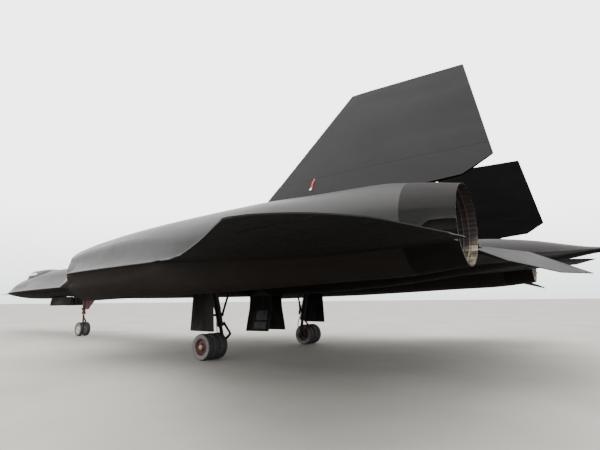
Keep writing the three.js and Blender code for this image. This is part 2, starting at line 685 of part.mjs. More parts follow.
// Side outlines in the fin's own plane, heights above the chine plane.
const FIN_SPLIT = 1510;
const STUB = [[-2980, 950], [-3478, FIN_SPLIT], [-7734, FIN_SPLIT - 5],
  [-7779, 1287], [-7303, 1002], [-6600, 950], [-6000, 800], [-3300, 800]];
const RUDDER = [[-3497, FIN_SPLIT + SLOT], [-5126, 3362], [-7371, 3291], [-7731, FIN_SPLIT + SLOT]];
const FIN_ROOT = { y: 3850, z: 1020 };
const POST = [-5620, -5620];
const POST_RADIUS = 55;
const FIN_THICKNESS = 150;

// A blade of double-wedge section: thick in the middle of the outline, sharp at both edges.
function blade(points, thickness, midRow) {
  const flat = sidePrism(points, [-thickness / 2, thickness / 2]);
  const wedge = (sign) => planPrism([
    [-2900, sign * 12], [midRow, sign * thickness / 2], [-7800, sign * 12],
    [-7800, sign * 400], [-2900, sign * 400]], [0, 4000]);
  return solid(flat).subtract(solid(wedge(1))).subtract(solid(wedge(-1)));
}

const lean = (geometry) => geometry
  .translate(0, 0, -FIN_ROOT.z)
  .rotateX(THREE.MathUtils.degToRad(FIN_CANT))
  .translate(0, FIN_ROOT.y, FIN_ROOT.z);

const nacelleBlock = solid(loft(NACELLE.map((station) => nacelleRing({
  ...station, top: station.top + SEAM, outboard: station.outboard + SEAM,
  inboard: station.inboard + SEAM }))));
const stub = solid(lean(surface(blade(STUB, FIN_THICKNESS, -5400)))).subtract(nacelleBlock);
const postHole = solid(rod([POST[0], 0, 1400], [POST[0], 0, 2300], POST_RADIUS + SLOT / 2, 12));
const post = solid(rod([POST[0], 0, 1400], [POST[0], 0, 2250], POST_RADIUS, 12));
const rudder = solid(lean(surface(blade(RUDDER, FIN_THICKNESS, -5400).subtract(postHole))));

placePair(airframe, 'fin_stub', surface(stub.add(solid(lean(surface(post))))), finish(FIN_PAINT, 0.6));
placePair(airframe, 'rudder', surface(rudder), finish(FIN_PAINT, 0.6));

// Gear doors, cut from the skin and hung open on their hinges

const HANG = { nose: 84, main: 104 };
const doorHinge = (y, z) => [[0, y, z], [1000, y, z]];
const NOSE_HINGE = [NOSE_BAY.half - SLOT, -395];
const MAIN_HINGE = [WHEEL_BAY.y[0] + SLOT, -700];
placePair(airframe, 'nose_gear_door',
  turnedAbout(surface(noseDoor), ...doorHinge(...NOSE_HINGE), HANG.nose), finish(BLACK_PAINT, 0.6));
placePair(airframe, 'main_wheel_door',
  turnedAbout(surface(mainDoor), ...doorHinge(...MAIN_HINGE), -HANG.main), finish(BLACK_PAINT, 0.6));

// Main gear, upright, x ahead of the main axle

const WHEEL_SIDES = 24;
const WHEEL_START = Math.PI / WHEEL_SIDES;      // so that a flat side meets the ground
const FLAT_TO_CORNER = 1 / Math.cos(WHEEL_START);
const MAIN_RIM = 225;
const BEARING = 52;
const ACROSS = [0, 1, 0];

function tyre({ radius, width }, rim, y) {
  const half = width / 2;
  const crown = radius * FLAT_TO_CORNER;
  const flank = [[half * 0.62, crown], [half, crown - radius * 0.15], [half * 0.86, rim]];
  const profile = [...flank.map(([across, r]) => [-across, r]).reverse(), ...flank];
  return turned([...profile, profile[0]], [0, y, radius], ACROSS, WHEEL_SIDES, WHEEL_START);
}

// The outline of dished wheel discs along one axle, from the first disc to the last.
function discs(centres, { width }, rim, core, dish) {
  const half = width * 0.42;
  const edge = rim - SEAM;
  return centres.flatMap((y) => [[y - half, core], [y - dish, edge - 30], [y - half, edge],
    [y + half, edge], [y + dish, edge - 30], [y + half, core]]);
}

// Three main wheels a side turn as one on the leg's axle.
const WHEEL_ROWS = { inner: 2160, middle: 2410, outer: 2660 };
const mainDiscs = discs(Object.values(WHEEL_ROWS), MAIN_TYRE, MAIN_RIM, BEARING + 30, 35);
const boreEnds = [[mainDiscs.at(-1)[0], BEARING], [mainDiscs[0][0], BEARING]];
placePair(gear, 'main_wheel_hubs',
  turned([...mainDiscs, ...boreEnds, mainDiscs[0]], [0, 0, MAIN_TYRE.radius], ACROSS, WHEEL_SIDES,
    WHEEL_START), finish(0x6e2622, 0.6));
for (const [row, y] of Object.entries(WHEEL_ROWS)) {
  placePair(gear, `main_tyre_${row}`, tyre(MAIN_TYRE, MAIN_RIM, y), finish(RUBBER, 0.85));
}

// The leg leans outboard from the axle's inner end up into the wing.
const LEG_FOOT = [0, 1900, MAIN_TYRE.radius];
const LEG_TOP = [0, 2420, 2330];
const onLeg = (height) => {
  const share = (height - LEG_FOOT[2]) / (LEG_TOP[2] - LEG_FOOT[2]);
  return [0, LEG_FOOT[1] + share * (LEG_TOP[1] - LEG_FOOT[1]), height];
};
const mainLeg = joined(
  solid(rod([0, 1840, MAIN_TYRE.radius], [0, 2775, MAIN_TYRE.radius], BEARING - 6, 16)),
  solid(rod(LEG_FOOT, onLeg(980), 55, 14)),
  solid(rod([0, 1830, MAIN_TYRE.radius], [0, 1990, MAIN_TYRE.radius], 90, 16)),
  solid(rod(onLeg(860), LEG_TOP, 98, 14)),
  solid(sidePrism([[-50, 400], [-50, 480], [-330, 700], [-330, 640]], [1935, 1995])),
  solid(sidePrism([[-60, 1000], [-60, 920], [-330, 640], [-330, 700]], [1935, 1995])));
placePair(gear, 'main_leg', surface(mainLeg), finish(GEAR_PAINT, 0.5, 0.3));

// A side brace up to the wall of the well, and a drag brace ahead of the leg.
const mainBrace = joined(
  solid(rod([0, 2014, 1090], [0, 1560, 2260], 42, 10)),
  solid(rod([120, 2054, 1180], [430, 2330, 2220], 34, 10)),
  solid(box([-40, 150], [1994, 2034], [1060, 1200])))
  .subtract(solid(rod(onLeg(700), onLeg(2300), 98 + SEAM, 14)));
placePair(gear, 'main_brace', surface(mainBrace), finish(GEAR_PAINT, 0.5, 0.3));

// The door that stays with the leg, outboard of it, wider at its foot.
const legDoorPlate = joined(
  solid(sidePrism([[430, 770], [330, 2180], [-400, 2180], [-500, 770]], [2725, 2760])),
  ...[[1150, 2235], [1750, 2392]].map(([z, y]) => solid(box([-60, 60], [y, 2740], [z, z + 60]))));
placePair(gear, 'main_leg_door', surface(legDoorPlate), finish(BLACK_PAINT, 0.6));

// Nose gear, upright on its own axle

const noseGear = new THREE.Group();
noseGear.position.set(NOSE_AXLE, 0, 0);
gear.add(noseGear);

const NOSE_RIM = 190;
const NOSE_BEARING = 34;
const KNUCKLE = 1010;
const AXLE_END = 240;
const noseCore = NOSE_BEARING + 4;
const noseDiscs = discs([-NOSE_TYRE.offset, NOSE_TYRE.offset], NOSE_TYRE, NOSE_RIM, noseCore, 30);
place(noseGear, 'nose_wheel_hubs',
  turned([[-AXLE_END, 0], [-AXLE_END, noseCore], ...noseDiscs, [AXLE_END, noseCore], [AXLE_END, 0]],
    [0, 0, NOSE_TYRE.radius], ACROSS, WHEEL_SIDES, WHEEL_START), finish(0xb9b19c, 0.6));
placePair(noseGear, 'nose_tyre', tyre(NOSE_TYRE, NOSE_RIM, NOSE_TYRE.offset),
  finish(RUBBER, 0.85));

const axleBore = solid(rod([0, -60, NOSE_TYRE.radius], [0, 60, NOSE_TYRE.radius], NOSE_BEARING + 12, 14));
const steeringFork = joined(
  solid(box([-70, 70], [-48, 48], [NOSE_TYRE.radius - 75, NOSE_TYRE.radius + 110])),
  solid(rod([0, 0, NOSE_TYRE.radius + 60], [0, 0, KNUCKLE - SLOT], 48, 14)),
  solid(sidePrism([[-40, 470], [-40, 540], [-240, 720], [-240, 670]], [-30, 30])),
  solid(sidePrism([[-40, 880], [-40, 810], [-240, 670], [-240, 720]], [-30, 30]))).subtract(axleBore);
place(noseGear, 'nose_steering_fork', surface(steeringFork), finish(0x5a2f2a, 0.5, 0.2));

const noseLeg = joined(
  solid(rod([0, 0, KNUCKLE], [0, 0, 2090], 72, 14)),
  solid(rod([0, 0, KNUCKLE], [0, 0, KNUCKLE + 90], 95, 14)),
  solid(rod([0, -200, 1960], [0, 200, 1960], 45, 12)),
  solid(sidePrism([[-60, 1650], [-60, 1230], [-380, 1230], [-900, 1650]], [-14, 14])));
place(noseGear, 'nose_gear_leg', surface(noseLeg), finish(GEAR_PAINT, 0.5, 0.3));
const noseBrace = joined(
  solid(rod([60, 0, 1250], [300, 0, 2090], 38, 10)),
  solid(box([40, 120], [-70, 70], [1210, 1290])))
  .subtract(solid(rod([0, 0, KNUCKLE], [0, 0, 2090], 72 + SEAM, 14)));
place(noseGear, 'nose_gear_brace', surface(noseBrace), finish(GEAR_PAINT, 0.5, 0.3));

export default aircraft;
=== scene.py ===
# %% [markdown]
# A parked reconnaissance jet
#
# This lesson dresses a finished mechanical model in paint, metal and rubber. The mechanical
# model comes first and stays fixed: it says where every piece is and how it moves, and Blender
# puts a fine surface where each plain one stood. All sizes are metres, +X points to the nose,
# +Y to port and +Z up, and the ground is z = 0.

import json
import math

import bmesh
import bpy
import numpy as np
from mathutils import Matrix, Vector


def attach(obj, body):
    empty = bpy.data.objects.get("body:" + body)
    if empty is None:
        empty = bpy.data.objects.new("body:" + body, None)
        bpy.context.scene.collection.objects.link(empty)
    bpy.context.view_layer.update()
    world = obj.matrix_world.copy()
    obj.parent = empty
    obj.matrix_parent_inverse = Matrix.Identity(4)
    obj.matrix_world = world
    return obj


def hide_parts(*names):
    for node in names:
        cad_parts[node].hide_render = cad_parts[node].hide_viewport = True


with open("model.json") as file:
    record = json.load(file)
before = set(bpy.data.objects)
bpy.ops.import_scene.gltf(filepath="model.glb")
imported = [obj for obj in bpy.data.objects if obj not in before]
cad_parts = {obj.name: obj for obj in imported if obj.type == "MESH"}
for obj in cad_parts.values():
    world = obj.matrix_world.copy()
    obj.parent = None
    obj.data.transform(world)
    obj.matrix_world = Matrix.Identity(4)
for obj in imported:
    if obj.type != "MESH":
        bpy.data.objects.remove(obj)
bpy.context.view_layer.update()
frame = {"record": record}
RECORD = frame["record"]
BODY_OF = {node: body for body, nodes in RECORD["behaviour"]["bodies"].items() for node in nodes}

# %% [markdown]
# The camera stands low on the ground, close to the port wing tip, and looks forward and a
# little up. Its place, its three angles and its lens came from fitting the wheels, nozzles and
# fin corners of the real aircraft's picture. Blender's camera looks along its own -Z with +Y
# up, so the three angles are turned into those axes.

# %% Camera
CAMERA_PLACE = Vector((-14.955, 10.608, 1.571))
CAMERA_HEADING = math.radians(-54.83)      # from +X towards +Y
CAMERA_PITCH = math.radians(10.29)
CAMERA_ROLL = math.radians(-0.53)
FOCAL_PIXELS = 414.1
PICTURE_WIDTH = 600
SENSOR = 36
FAR = 600


def placed(name, data):
    """A new object in the scene."""
    thing = bpy.data.objects.new(name, data)
    bpy.context.scene.collection.objects.link(thing)
    return thing


def add_camera():
    """Ahead is heading and pitch as a unit vector; right is level across it; roll mixes right and up."""
    ahead = Vector((math.cos(CAMERA_PITCH) * math.cos(CAMERA_HEADING),
                    math.cos(CAMERA_PITCH) * math.sin(CAMERA_HEADING),
                    math.sin(CAMERA_PITCH)))
    level_right = ahead.cross(Vector((0, 0, 1))).normalized()
    level_up = level_right.cross(ahead)
    right = level_right * math.cos(CAMERA_ROLL) + level_up * math.sin(CAMERA_ROLL)
    up = level_up * math.cos(CAMERA_ROLL) - level_right * math.sin(CAMERA_ROLL)
    camera = placed("camera", bpy.data.cameras.new("camera"))
    camera.data.sensor_width = SENSOR
    camera.data.lens = SENSOR * FOCAL_PIXELS / PICTURE_WIDTH
    camera.data.clip_end = FAR
    camera.matrix_world = Matrix.Translation(CAMERA_PLACE) @ Matrix(
        (right, up, -ahead)).transposed().to_4x4()
    bpy.context.scene.camera = camera
    return camera


camera = add_camera()
print("lens", round(camera.data.lens, 2), "mm")

# %% [markdown]
# Every surface here is a grid of points: rows of stations along a piece and columns round it.
# Such a grid could be typed in by hand, but a formula on whole numpy arrays is shorter and
# smoother. `grid` makes the points, `faces_of` joins neighbours, `shell` closes the ends, and
# `solid_of` makes one Blender object from several shells, merges doubles and points all faces
# outwards. `fitting` gives a shape its finish and its body, and `dress` puts it in a node's place.

# %% From grids of points to meshes
MERGE_DISTANCE = 2e-5
CREASE = math.radians(32)


def grid(x, y, z):
    """Points from three arrays, each stretched to the size that all of them share."""
    return np.stack(np.broadcast_arrays(x, y, z), -1)


def faces_of(rows, columns, loop):
    """Quads between neighbours, the last column joined to the first; `loop` joins the rows' ends."""
    row = np.arange(rows if loop else rows - 1)[:, None]
    column = np.arange(columns)[None, :]
    below = ((row + 1) % rows) * columns
    beside = (column + 1) % columns
    corners = np.broadcast_arrays(
        row * columns + column, row * columns + beside, below + beside, below + column)
    return np.stack(corners, -1).reshape(-1, 4).tolist()


def shell(points, loop=False):
    """A grid (rows, columns, 3) as points and faces. One face closes each end row, or `loop` joins them."""
    rows, columns = points.shape[:2]
    faces = faces_of(rows, columns, loop)
    if not loop:
        faces += [list(range(columns)), list(range((rows - 1) * columns, rows * columns))]
    return points.reshape(-1, 3), faces


def slab(upper, lower):
    """A closed shell of two grids: each row runs over the upper one and back over the lower one."""
    return shell(np.concatenate([upper, lower[:, ::-1]], 1))


def solid_of(shells):
    """One unnamed object of several closed shells, doubles merged and faces turned outwards."""
    offsets = np.cumsum([0] + [len(points) for points, _ in shells])
    faces = [[corner + int(start) for corner in face]
             for (_, part), start in zip(shells, offsets) for face in part]
    mesh = bpy.data.meshes.new("shape")
    mesh.from_pydata(np.concatenate([points for points, _ in shells]).tolist(), [], faces)
    work = bmesh.new()
    work.from_mesh(mesh)
    bmesh.ops.remove_doubles(work, verts=work.verts, dist=MERGE_DISTANCE)
    bmesh.ops.dissolve_degenerate(work, edges=work.edges, dist=MERGE_DISTANCE / 2)
    bmesh.ops.recalc_face_normals(work, faces=work.faces)
    work.to_mesh(mesh)
    work.free()
    return placed("shape", mesh)


def evaluated(shape):
    """The shape as its modifiers leave it."""
    return shape.evaluated_get(bpy.context.evaluated_depsgraph_get())


def applied(shape):
    """Keeps what the modifiers make of a shape and drops the modifiers."""
    mesh = bpy.data.meshes.new_from_object(evaluated(shape))
    shape.modifiers.clear()
    shape.data = mesh
    return shape


def carve(shape, tool, operation="DIFFERENCE"):
    """Cuts, keeps or adds a tool solid with a Boolean modifier, keeps the result and drops the tool."""
    modifier = shape.modifiers.new("carve", "BOOLEAN")
    modifier.operation = operation
    modifier.solver = "EXACT"
    modifier.object = tool
    applied(shape)
    bpy.data.objects.remove(tool)
    return shape


def fitting(name, node, shape, finishes, crease=CREASE):
    """Names a shape, or a list of shells, smooths it except across creases, gives it one finish, or
    a list of them, and lets it ride with a node's body."""
    shape = solid_of(shape) if isinstance(shape, list) else shape
    mesh = shape.data
    shape.name = mesh.name = name
    mesh.materials.clear()
    for finish in finishes if isinstance(finishes, list) else [finishes]:
        mesh.materials.append(finish)
    mesh.shade_smooth()
    mesh.set_sharp_from_angle(angle=crease)
    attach(shape, BODY_OF[node])
    return shape


def dress(node, shape, finishes, name=None):
    """A fitting that takes the place of its CAD node."""
    shape = fitting(name or node + "_skin", node, shape, finishes)
    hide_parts(node)
    return shape


print("a 3 by 4 grid has", len(faces_of(3, 4, False)), "faces round a ring")

# %% [markdown]
# The airframe has a frame of its own: x runs ahead of the main axle and z from the flat plane
# of the chines. The whole airframe then leans nose down by 0.9 degrees, while the gear stands
# upright on the ground. So skins are worked out in the airframe's frame and moved over in one
# step. A mirror in y gives the other side.

# %% The two frames, and shapes that are used again and again
AXLE_X = -6.115
PLANE_HEIGHT = 2.42
LEAN = math.radians(0.9)
SIDES = {"port": 1, "starboard": -1}


def settled(shape):
    """Leans a shape, or a list of shells, nose down and moves it to its place over the ground."""
    shape = solid_of(shape) if isinstance(shape, list) else shape
    shape.data.transform(Matrix.Translation((AXLE_X, 0, PLANE_HEIGHT)) @ Matrix.Rotation(LEAN, 4, "Y"))
    return shape


def sided(shells, side):
    """The same shells on one side of the aircraft."""
    return [(points * (1, SIDES[side], 1), faces) for points, faces in shells]


def moved(shells, *by):
    """Shells shifted by x, y and z."""
    return [(points + by, faces) for points, faces in shells]


def on_both_sides(node, shells, finishes, place=settled):
    """The same shells dress the port node and its starboard twin."""
    for side in SIDES:
        dress(f"{side}_{node}", place(sided(shells, side)), finishes)


def fitted_both_sides(name, node, shells, finishes, place=settled):
    """The same small piece rides with the port node and with its starboard twin."""
    for side in SIDES:
        fitting(f"{side}_{name}", f"{side}_{node}", place(sided(shells, side)), finishes)


def smooth(stations, values, at):
    """A cubic through the stations. Each slope is the harmonic mean of its neighbours', or nought
    where they differ in sign, so the curve never overshoots."""
    stations, values = np.asarray(stations, float), np.asarray(values, float)
    width = np.diff(stations)
    rise = np.diff(values) / width
    product = rise[:-1] * rise[1:]
    total = np.where(product > 0, rise[:-1] + rise[1:], 1)
    slope = np.concatenate([rise[:1], np.where(product > 0, 2 * product / total, 0), rise[-1:]])
    span = np.clip(np.searchsorted(stations, at, side="right") - 1, 0, len(width) - 1)
    t = np.clip((at - stations[span]) / width[span], 0, 1)
    return ((1 + 2 * t) * (1 - t) ** 2 * values[span] + t * (1 - t) ** 2 * width[span] * slope[span]
            + t * t * (3 - 2 * t) * values[span + 1] - t * t * (1 - t) * width[span] * slope[span + 1])


def column(table, name):
    """One column of a table whose first row holds the names."""
    return np.array([row[table[0].index(name)] for row in table[1:]], float)


def read_off(table, name, at):
    """A column of a table, anywhere along its first column."""
    return smooth(column(table, table[0][0]), column(table, name), at)


def frame_along(direction):
    """Two unit vectors across a direction, the second one as upright as can be."""
    ahead = np.asarray(direction, float) / np.linalg.norm(direction)
    up = np.array([0.0, 0, 1]) if abs(ahead[2]) < 0.9 else np.array([1.0, 0, 0])
    across = np.cross(up, ahead)
    across /= np.linalg.norm(across)
    return ahead, across, np.cross(ahead, across)


def round_in(count):
    """The angles of a whole turn in equal steps."""
    return np.linspace(0, 2 * np.pi, count, endpoint=False)


def turned(profile, origin, direction, sides=48, loop=False):
    """A profile of (along, radius) points carried round a line: radius times cosine and sine of the
    angle. `loop` joins the profile's ends, for a tyre or a hoop."""
    along, radius = np.asarray(profile, float).T[:, :, None, None]
    ahead, across, up = frame_along(direction)
    angle = round_in(sides)[None, :, None]
    out = np.cos(angle) * across + np.sin(angle) * up
    return shell(np.asarray(origin) + along * ahead + radius * out, loop)


def rod(start, end, radius, sides=24, edge=0.006):
    """A round bar with a small chamfer at each end."""
    length = math.dist(start, end)
    edge = min(edge, radius / 3)
    profile = [(0, radius - edge), (edge, radius), (length - edge, radius), (length, radius - edge)]
    return turned(profile, start, np.subtract(end, start), sides)


def tube(path, radius, sides=12):
    """A round pipe along a smooth path: each ring stands across the path's own direction, and
    its first point is carried along from the ring before, so that the pipe doesn't twist."""
    knots = np.asarray(path, float)
    steps = np.arange(len(knots))
    at = np.linspace(0, len(knots) - 1, 8 * (len(knots) - 1) + 1)
    line = np.stack([smooth(steps, knots[:, i], at) for i in range(3)], -1)
    ahead = np.gradient(line, axis=0)
    ahead /= np.linalg.norm(ahead, axis=1, keepdims=True)
    side = frame_along(ahead[0])[1]
    across = np.zeros_like(ahead)
    for ring, way in enumerate(ahead):
        side = side - way * (side @ way)
        side = side / np.linalg.norm(side)
        across[ring] = side
    up = np.cross(ahead, across)
    angle = round_in(sides)[None, :, None]
    return shell(line[:, None] + radius * (np.cos(angle) * across[:, None] + np.sin(angle) * up[:, None]))


def rounded(outline, radius, steps=4):
    """An outline with each corner rounded by a curve that starts and ends `radius` from it."""
    corners = np.asarray(outline, float)
    before, after = np.roll(corners, 1, 0) - corners, np.roll(corners, -1, 0) - corners
    reach = [np.minimum(radius / np.linalg.norm(edge, axis=1), 0.45)[:, None] * edge
             for edge in (before, after)]
    t = np.linspace(0, 1, steps)[None, :, None]
    bend = (corners[:, None] + (1 - t) ** 2 * reach[0][:, None] + t * t * reach[1][:, None])
    return bend.reshape(-1, corners.shape[1])


def plate(outline, low, high, axis, edge=0.004, corner=0.0):
    """A flat outline made thick along an axis (0, 1 or 2) with a bevelled rim: four rings, the
    outer two drawn in towards the middle by the bevel."""
    flat = rounded(outline, corner) if corner else np.asarray(outline, float)
    ahead = np.roll(flat, -1, 0) - np.roll(flat, 1, 0)
    ahead /= np.maximum(np.linalg.norm(ahead, axis=1, keepdims=True), 1e-9)
    turn = np.sum(flat * np.roll(flat, -1, 0)[:, ::-1] * (1, -1)) > 0
    inward = np.stack([-ahead[:, 1], ahead[:, 0]], 1) * (1 if turn else -1)
    edge = min(edge, abs(high - low) / 3)
    rings = [(low, edge), (low + edge, 0), (high - edge, 0), (high, edge)]
    stacked = [np.insert(flat + inward * by, axis, level, axis=1) for level, by in rings]
    return shell(np.stack(stacked))


def block(x, y, z, edge=0.006):
    """A box with bevelled edges, from its three spans."""
    return plate([(x[0], y[0]), (x[1], y[0]), (x[1], y[1]), (x[0], y[1])], z[0], z[1], 2, edge, edge)


def turned_about(points, start, end, degrees):
    """A turn about a line: the part of each arm along the line stays, the rest goes round it by
    cosine and sine."""
    start, end = np.asarray(start, float), np.asarray(end, float)
    axis = (end - start) / np.linalg.norm(end - start)
    arm = np.asarray(points) - start
    angle = math.radians(degrees)
    along = (arm @ axis)[..., None] * axis
    return (start + arm * math.cos(angle) + np.cross(axis, arm) * math.sin(angle)
            + along * (1 - math.cos(angle)))


print("the airframe's origin stands at", (AXLE_X, 0, PLANE_HEIGHT))

# %% [markdown]
# Paint and metal are small programs of nodes. Wiring them one by one is slow to read, so a
# `Signal` stands for one socket and Python's own operators add the Math nodes: `1 - worn * 0.5`
# makes two nodes and their links. A `Finish` is a material that knows how to add any other
# node, and reads its patterns from Object coordinates, so a pattern keeps its size in metres
# and runs on from one piece to the next.

# %% Signals and finishes
class Signal:
    """A value in a material. The operators add Math nodes and give the next value."""

    def __init__(self, finish, socket):
        self.finish = finish
        self.socket = socket

    def maths(self, operation, *values):
        """The result of a Math node."""
        node = self.finish.add("ShaderNodeMath", {"operation": operation}, dict(enumerate(values)))
        return Signal(self.finish, node.outputs[0])

    def __add__(self, other):
        return self.maths("ADD", self, other)

    def __sub__(self, other):
        return self.maths("SUBTRACT", self, other)

    def __rsub__(self, other):
        return self.maths("SUBTRACT", other, self)

    def __mul__(self, other):
        return self.maths("MULTIPLY", self, other)

    def __truediv__(self, other):
        return self.maths("DIVIDE", self, other)

    def __pow__(self, other):
        return self.maths("POWER", self, other)

    def __abs__(self):
        return self.maths("ABSOLUTE", self)

    __radd__ = __add__
    __rmul__ = __mul__

    def most(self, other):
        return self.maths("MAXIMUM", self, other)

    def step(self, low, high):
        """0 below `low`, 1 above `high` and a smooth rise between; swapped limits fall instead."""
        node = self.finish.add("ShaderNodeMapRange", {"interpolation_type": "SMOOTHSTEP"},
                               {"Value": self, "From Min": min(low, high), "From Max": max(low, high)})
        rise = Signal(self.finish, node.outputs[0])
        return rise if low < high else 1 - rise

    def lines(self, spacing, width):
        """1 on thin lines `spacing` apart, 0 between them."""
        turn = self / spacing + 0.5
        away = abs(turn.maths("FRACT", turn) - 0.5) * spacing
        return away.step(width, width * 0.4)

    def cell(self, spacing):
        """A different number from 0 to 1 for each stretch of `spacing`."""
        share = self / spacing
        whole = share.maths("FLOOR", share)
        node = self.finish.add("ShaderNodeTexWhiteNoise", {"noise_dimensions": "1D"}, {"W": whole})
        return Signal(self.finish, node.outputs["Value"])


class Finish:
    """A material: one Principled shader, object coordinates and a way to add any node."""

    def __init__(self, name, **constants):
        self.material = bpy.data.materials.new(name)
        self.material.use_nodes = True
        self.tree = self.material.node_tree
        self.shader = self.tree.nodes["Principled BSDF"]
        self.fill(self.shader, constants)
        self.coordinates = self.add("ShaderNodeTexCoord").outputs
        self.place = Signal(self, self.coordinates["Object"])
        self.x, self.y, self.z = self.parts(self.place)
        self.up = self.parts(Signal(self, self.coordinates["Normal"]))[2]

    def add(self, kind, settings=None, inputs=None):
        """A node of any kind: its settings first, then the values or links of its sockets."""
        node = self.tree.nodes.new(kind)
        for key, value in (settings or {}).items():
            if key == "stops":
                ramp = node.color_ramp.elements
                while len(ramp) < len(value):
                    ramp.new(1)
                for stop, (position, colour) in zip(ramp, value):
                    stop.position = position
                    stop.color = (*colour, 1)
            else:
                setattr(node, key, value)
        self.fill(node, inputs or {})
        return node

    def fill(self, node, inputs):
        """Sets the named sockets, or links them where the value is a signal."""
        for key, value in inputs.items():
            socket = node.inputs[key.replace("_", " ") if isinstance(key, str) else key]
            if isinstance(value, Signal):
                self.tree.links.new(value.socket, socket)
            else:
                socket.default_value = value

    def parts(self, vector):
        """x, y and z of a vector."""
        node = self.add("ShaderNodeSeparateXYZ", None, {0: vector})
        return [Signal(self, output) for output in node.outputs]

    def stretched(self, by):
        """Object coordinates times a factor for each axis."""
        node = self.add("ShaderNodeVectorMath", {"operation": "MULTIPLY"}, {0: self.place, 1: by})
        return Signal(self, node.outputs[0])

    def noise(self, scale, detail=4.0, rough=0.55, stretch=None, contrast=0.2):
        """Cloudy noise with `scale` lumps to the metre, spread out to fill 0 to 1."""
        place = self.stretched(stretch) if stretch else self.place
        node = self.add("ShaderNodeTexNoise", None,
                        {"Vector": place, "Scale": scale, "Detail": detail, "Roughness": rough})
        return Signal(self, node.outputs[0]).step(0.5 - contrast, 0.5 + contrast)

    def ramp(self, factor, *stops):
        """A colour for each value, from stops of position and colour."""
        node = self.add("ShaderNodeValToRGB", {"stops": stops}, {0: factor})
        return Signal(self, node.outputs[0])

    def blend(self, factor, first, second):
        """One colour where the factor is 0, the other where it is 1."""
        colours = [(*c, 1) if isinstance(c, tuple) else c for c in (first, second)]
        node = self.add("ShaderNodeMix", {"data_type": "RGBA"}, {0: factor, 6: colours[0], 7: colours[1]})
        return Signal(self, node.outputs[2])

    def bump(self, height, depth, below=None):
        """A Bump node: `height` from 0 to 1 stands for `depth` metres."""
        inputs = {"Height": height, "Distance": depth, "Strength": 1.0}
        inputs |= {"Normal": below} if below else {}
        return Signal(self, self.add("ShaderNodeBump", None, inputs).outputs[0])

    def done(self, **sockets):
        """Links or sets the Principled shader's sockets and hands the material over."""
        self.fill(self.shader, sockets)
        return self.material


def gray(value):
    return (value, value, value)


print("a finish starts with", len(Finish("trial").tree.nodes), "nodes")
bpy.data.materials.remove(bpy.data.materials["trial"])

# %% [markdown]
# The skin is a faded matt black that decades of weather have turned a brownish grey on top.
# One paint serves the whole airframe, so that patches and streaks run on over the joints. It
# has five layers: wide cloudy patches, streaks that the wind and rain drew along the body,
# fine mottling, a slightly different tone for each panel, and thin dark seams. Faces that look
# up are made lighter, partly by dust and partly as painted light, and the skin grows lighter
# towards the nose, which is painted light. Surfaces that face the ground get a far darker
# colour, which is painted shade, and hardly shine, so a second shader with less gloss takes
# over where the normal points down. The hot rear of the aircraft is the dullest.

# %% Airframe paint
SEAM_LINE = 0.007
SEAM_DEPTH = 0.0012
WAVE = 0.006
GRAIN = 0.0007
# The skin grows lighter towards the nose over this span of x. That lightening is painted light.
PAINTED_LIGHT_AHEAD = (-8.0, 12.0)
HEATED = (-8.0, -13.0)


def airframe_paint(name, dark, light, along=1.9, across=0.62, seams=0.5, shine=0.42, warm=0.0, gloss=0.22,
                   sheen=0.05):
    """Weathered matt paint. `dark` and `light` bound its tone, `along` and `across` space the
    panels, `seams` says how strongly they show and `warm` browns the underside's painted shade.
    Faces that look up and the front of the aircraft are lightened, partly by dust and partly as
    painted light, and faces that look down get a far darker colour, which is painted shade."""
    paint = Finish(name, Specular_IOR_Level=gloss, Sheen_Weight=sheen, Sheen_Roughness=0.45)
    patches = paint.noise(0.42, 5, 0.6)
    streaks = paint.noise(1.0, 5, 0.6, (0.35, 3.2, 3.2))
    mottle = paint.noise(9, 6, 0.65)
    grit = paint.noise(90, 2, 0.5)
    panels = paint.x.cell(along) * 0.5 + (paint.y + paint.x.cell(along) * 2).cell(across) * 0.5
    tone = patches * 0.34 + streaks * 0.3 + mottle * 0.14 + panels * 0.14 + grit * 0.08
    seam = paint.x.lines(along, SEAM_LINE).most(paint.y.lines(across, SEAM_LINE)) * seams
    half_way = tuple((a + b) / 2 for a, b in zip(dark, light))
    top = paint.ramp(tone, (0.1, dark), (0.55, half_way), (0.95, light))
    # Faces that look up and the front of the aircraft turn towards a pale dust colour. On the upward faces
    # this is partly dust and partly painted light; towards the nose it is painted light.
    dust = paint.up.step(0.1, 1.0) * (streaks * 0.25 + 0.25) + paint.x.step(*PAINTED_LIGHT_AHEAD) * (patches * 0.3 + 0.35)
    top = paint.blend(dust, top, tuple(c * 1.9 for c in light))
    top = paint.blend(seam, top, tuple(c * 0.35 for c in dark))
    grain = paint.bump(mottle * 0.6 + grit * 0.4, GRAIN)
    relief = paint.bump(paint.noise(1.3, 2, 0.4), WAVE, paint.bump(1 - seam, SEAM_DEPTH, grain))
    rough = paint.x.step(*HEATED) * 0.14 + streaks * 0.1 + grit * 0.06 + shine
    paint.done(Base_Color=top, Roughness=rough, Normal=relief)

    # Faces that look down get this far darker colour and little gloss: the black paint darkened further as
    # painted shade, and browned a little by `warm`.
    underside_painted_shade = paint.ramp(tone, (0.1, (0.0016 + warm * 0.6, 0.0015 + warm * 0.42, 0.0015 + warm * 0.32)),
                      (0.95, (0.005 + warm, 0.0045 + warm * 0.72, 0.0044 + warm * 0.58)))
    underside_painted_shade = paint.blend(seam * 0.7, underside_painted_shade, gray(0.0008))
    under = paint.add("ShaderNodeBsdfPrincipled", None, {
        "Base Color": underside_painted_shade, "Roughness": 0.72 + mottle * 0.12, "Normal": relief, "Specular IOR Level": 0.06})
    both = paint.add("ShaderNodeMixShader", None, {
        0: paint.up.step(0.02, -0.16),
        1: Signal(paint, paint.shader.outputs[0]),
        2: Signal(paint, under.outputs[0])})
    paint.fill(paint.tree.nodes["Material Output"], {"Surface": Signal(paint, both.outputs[0])})
    return paint.material


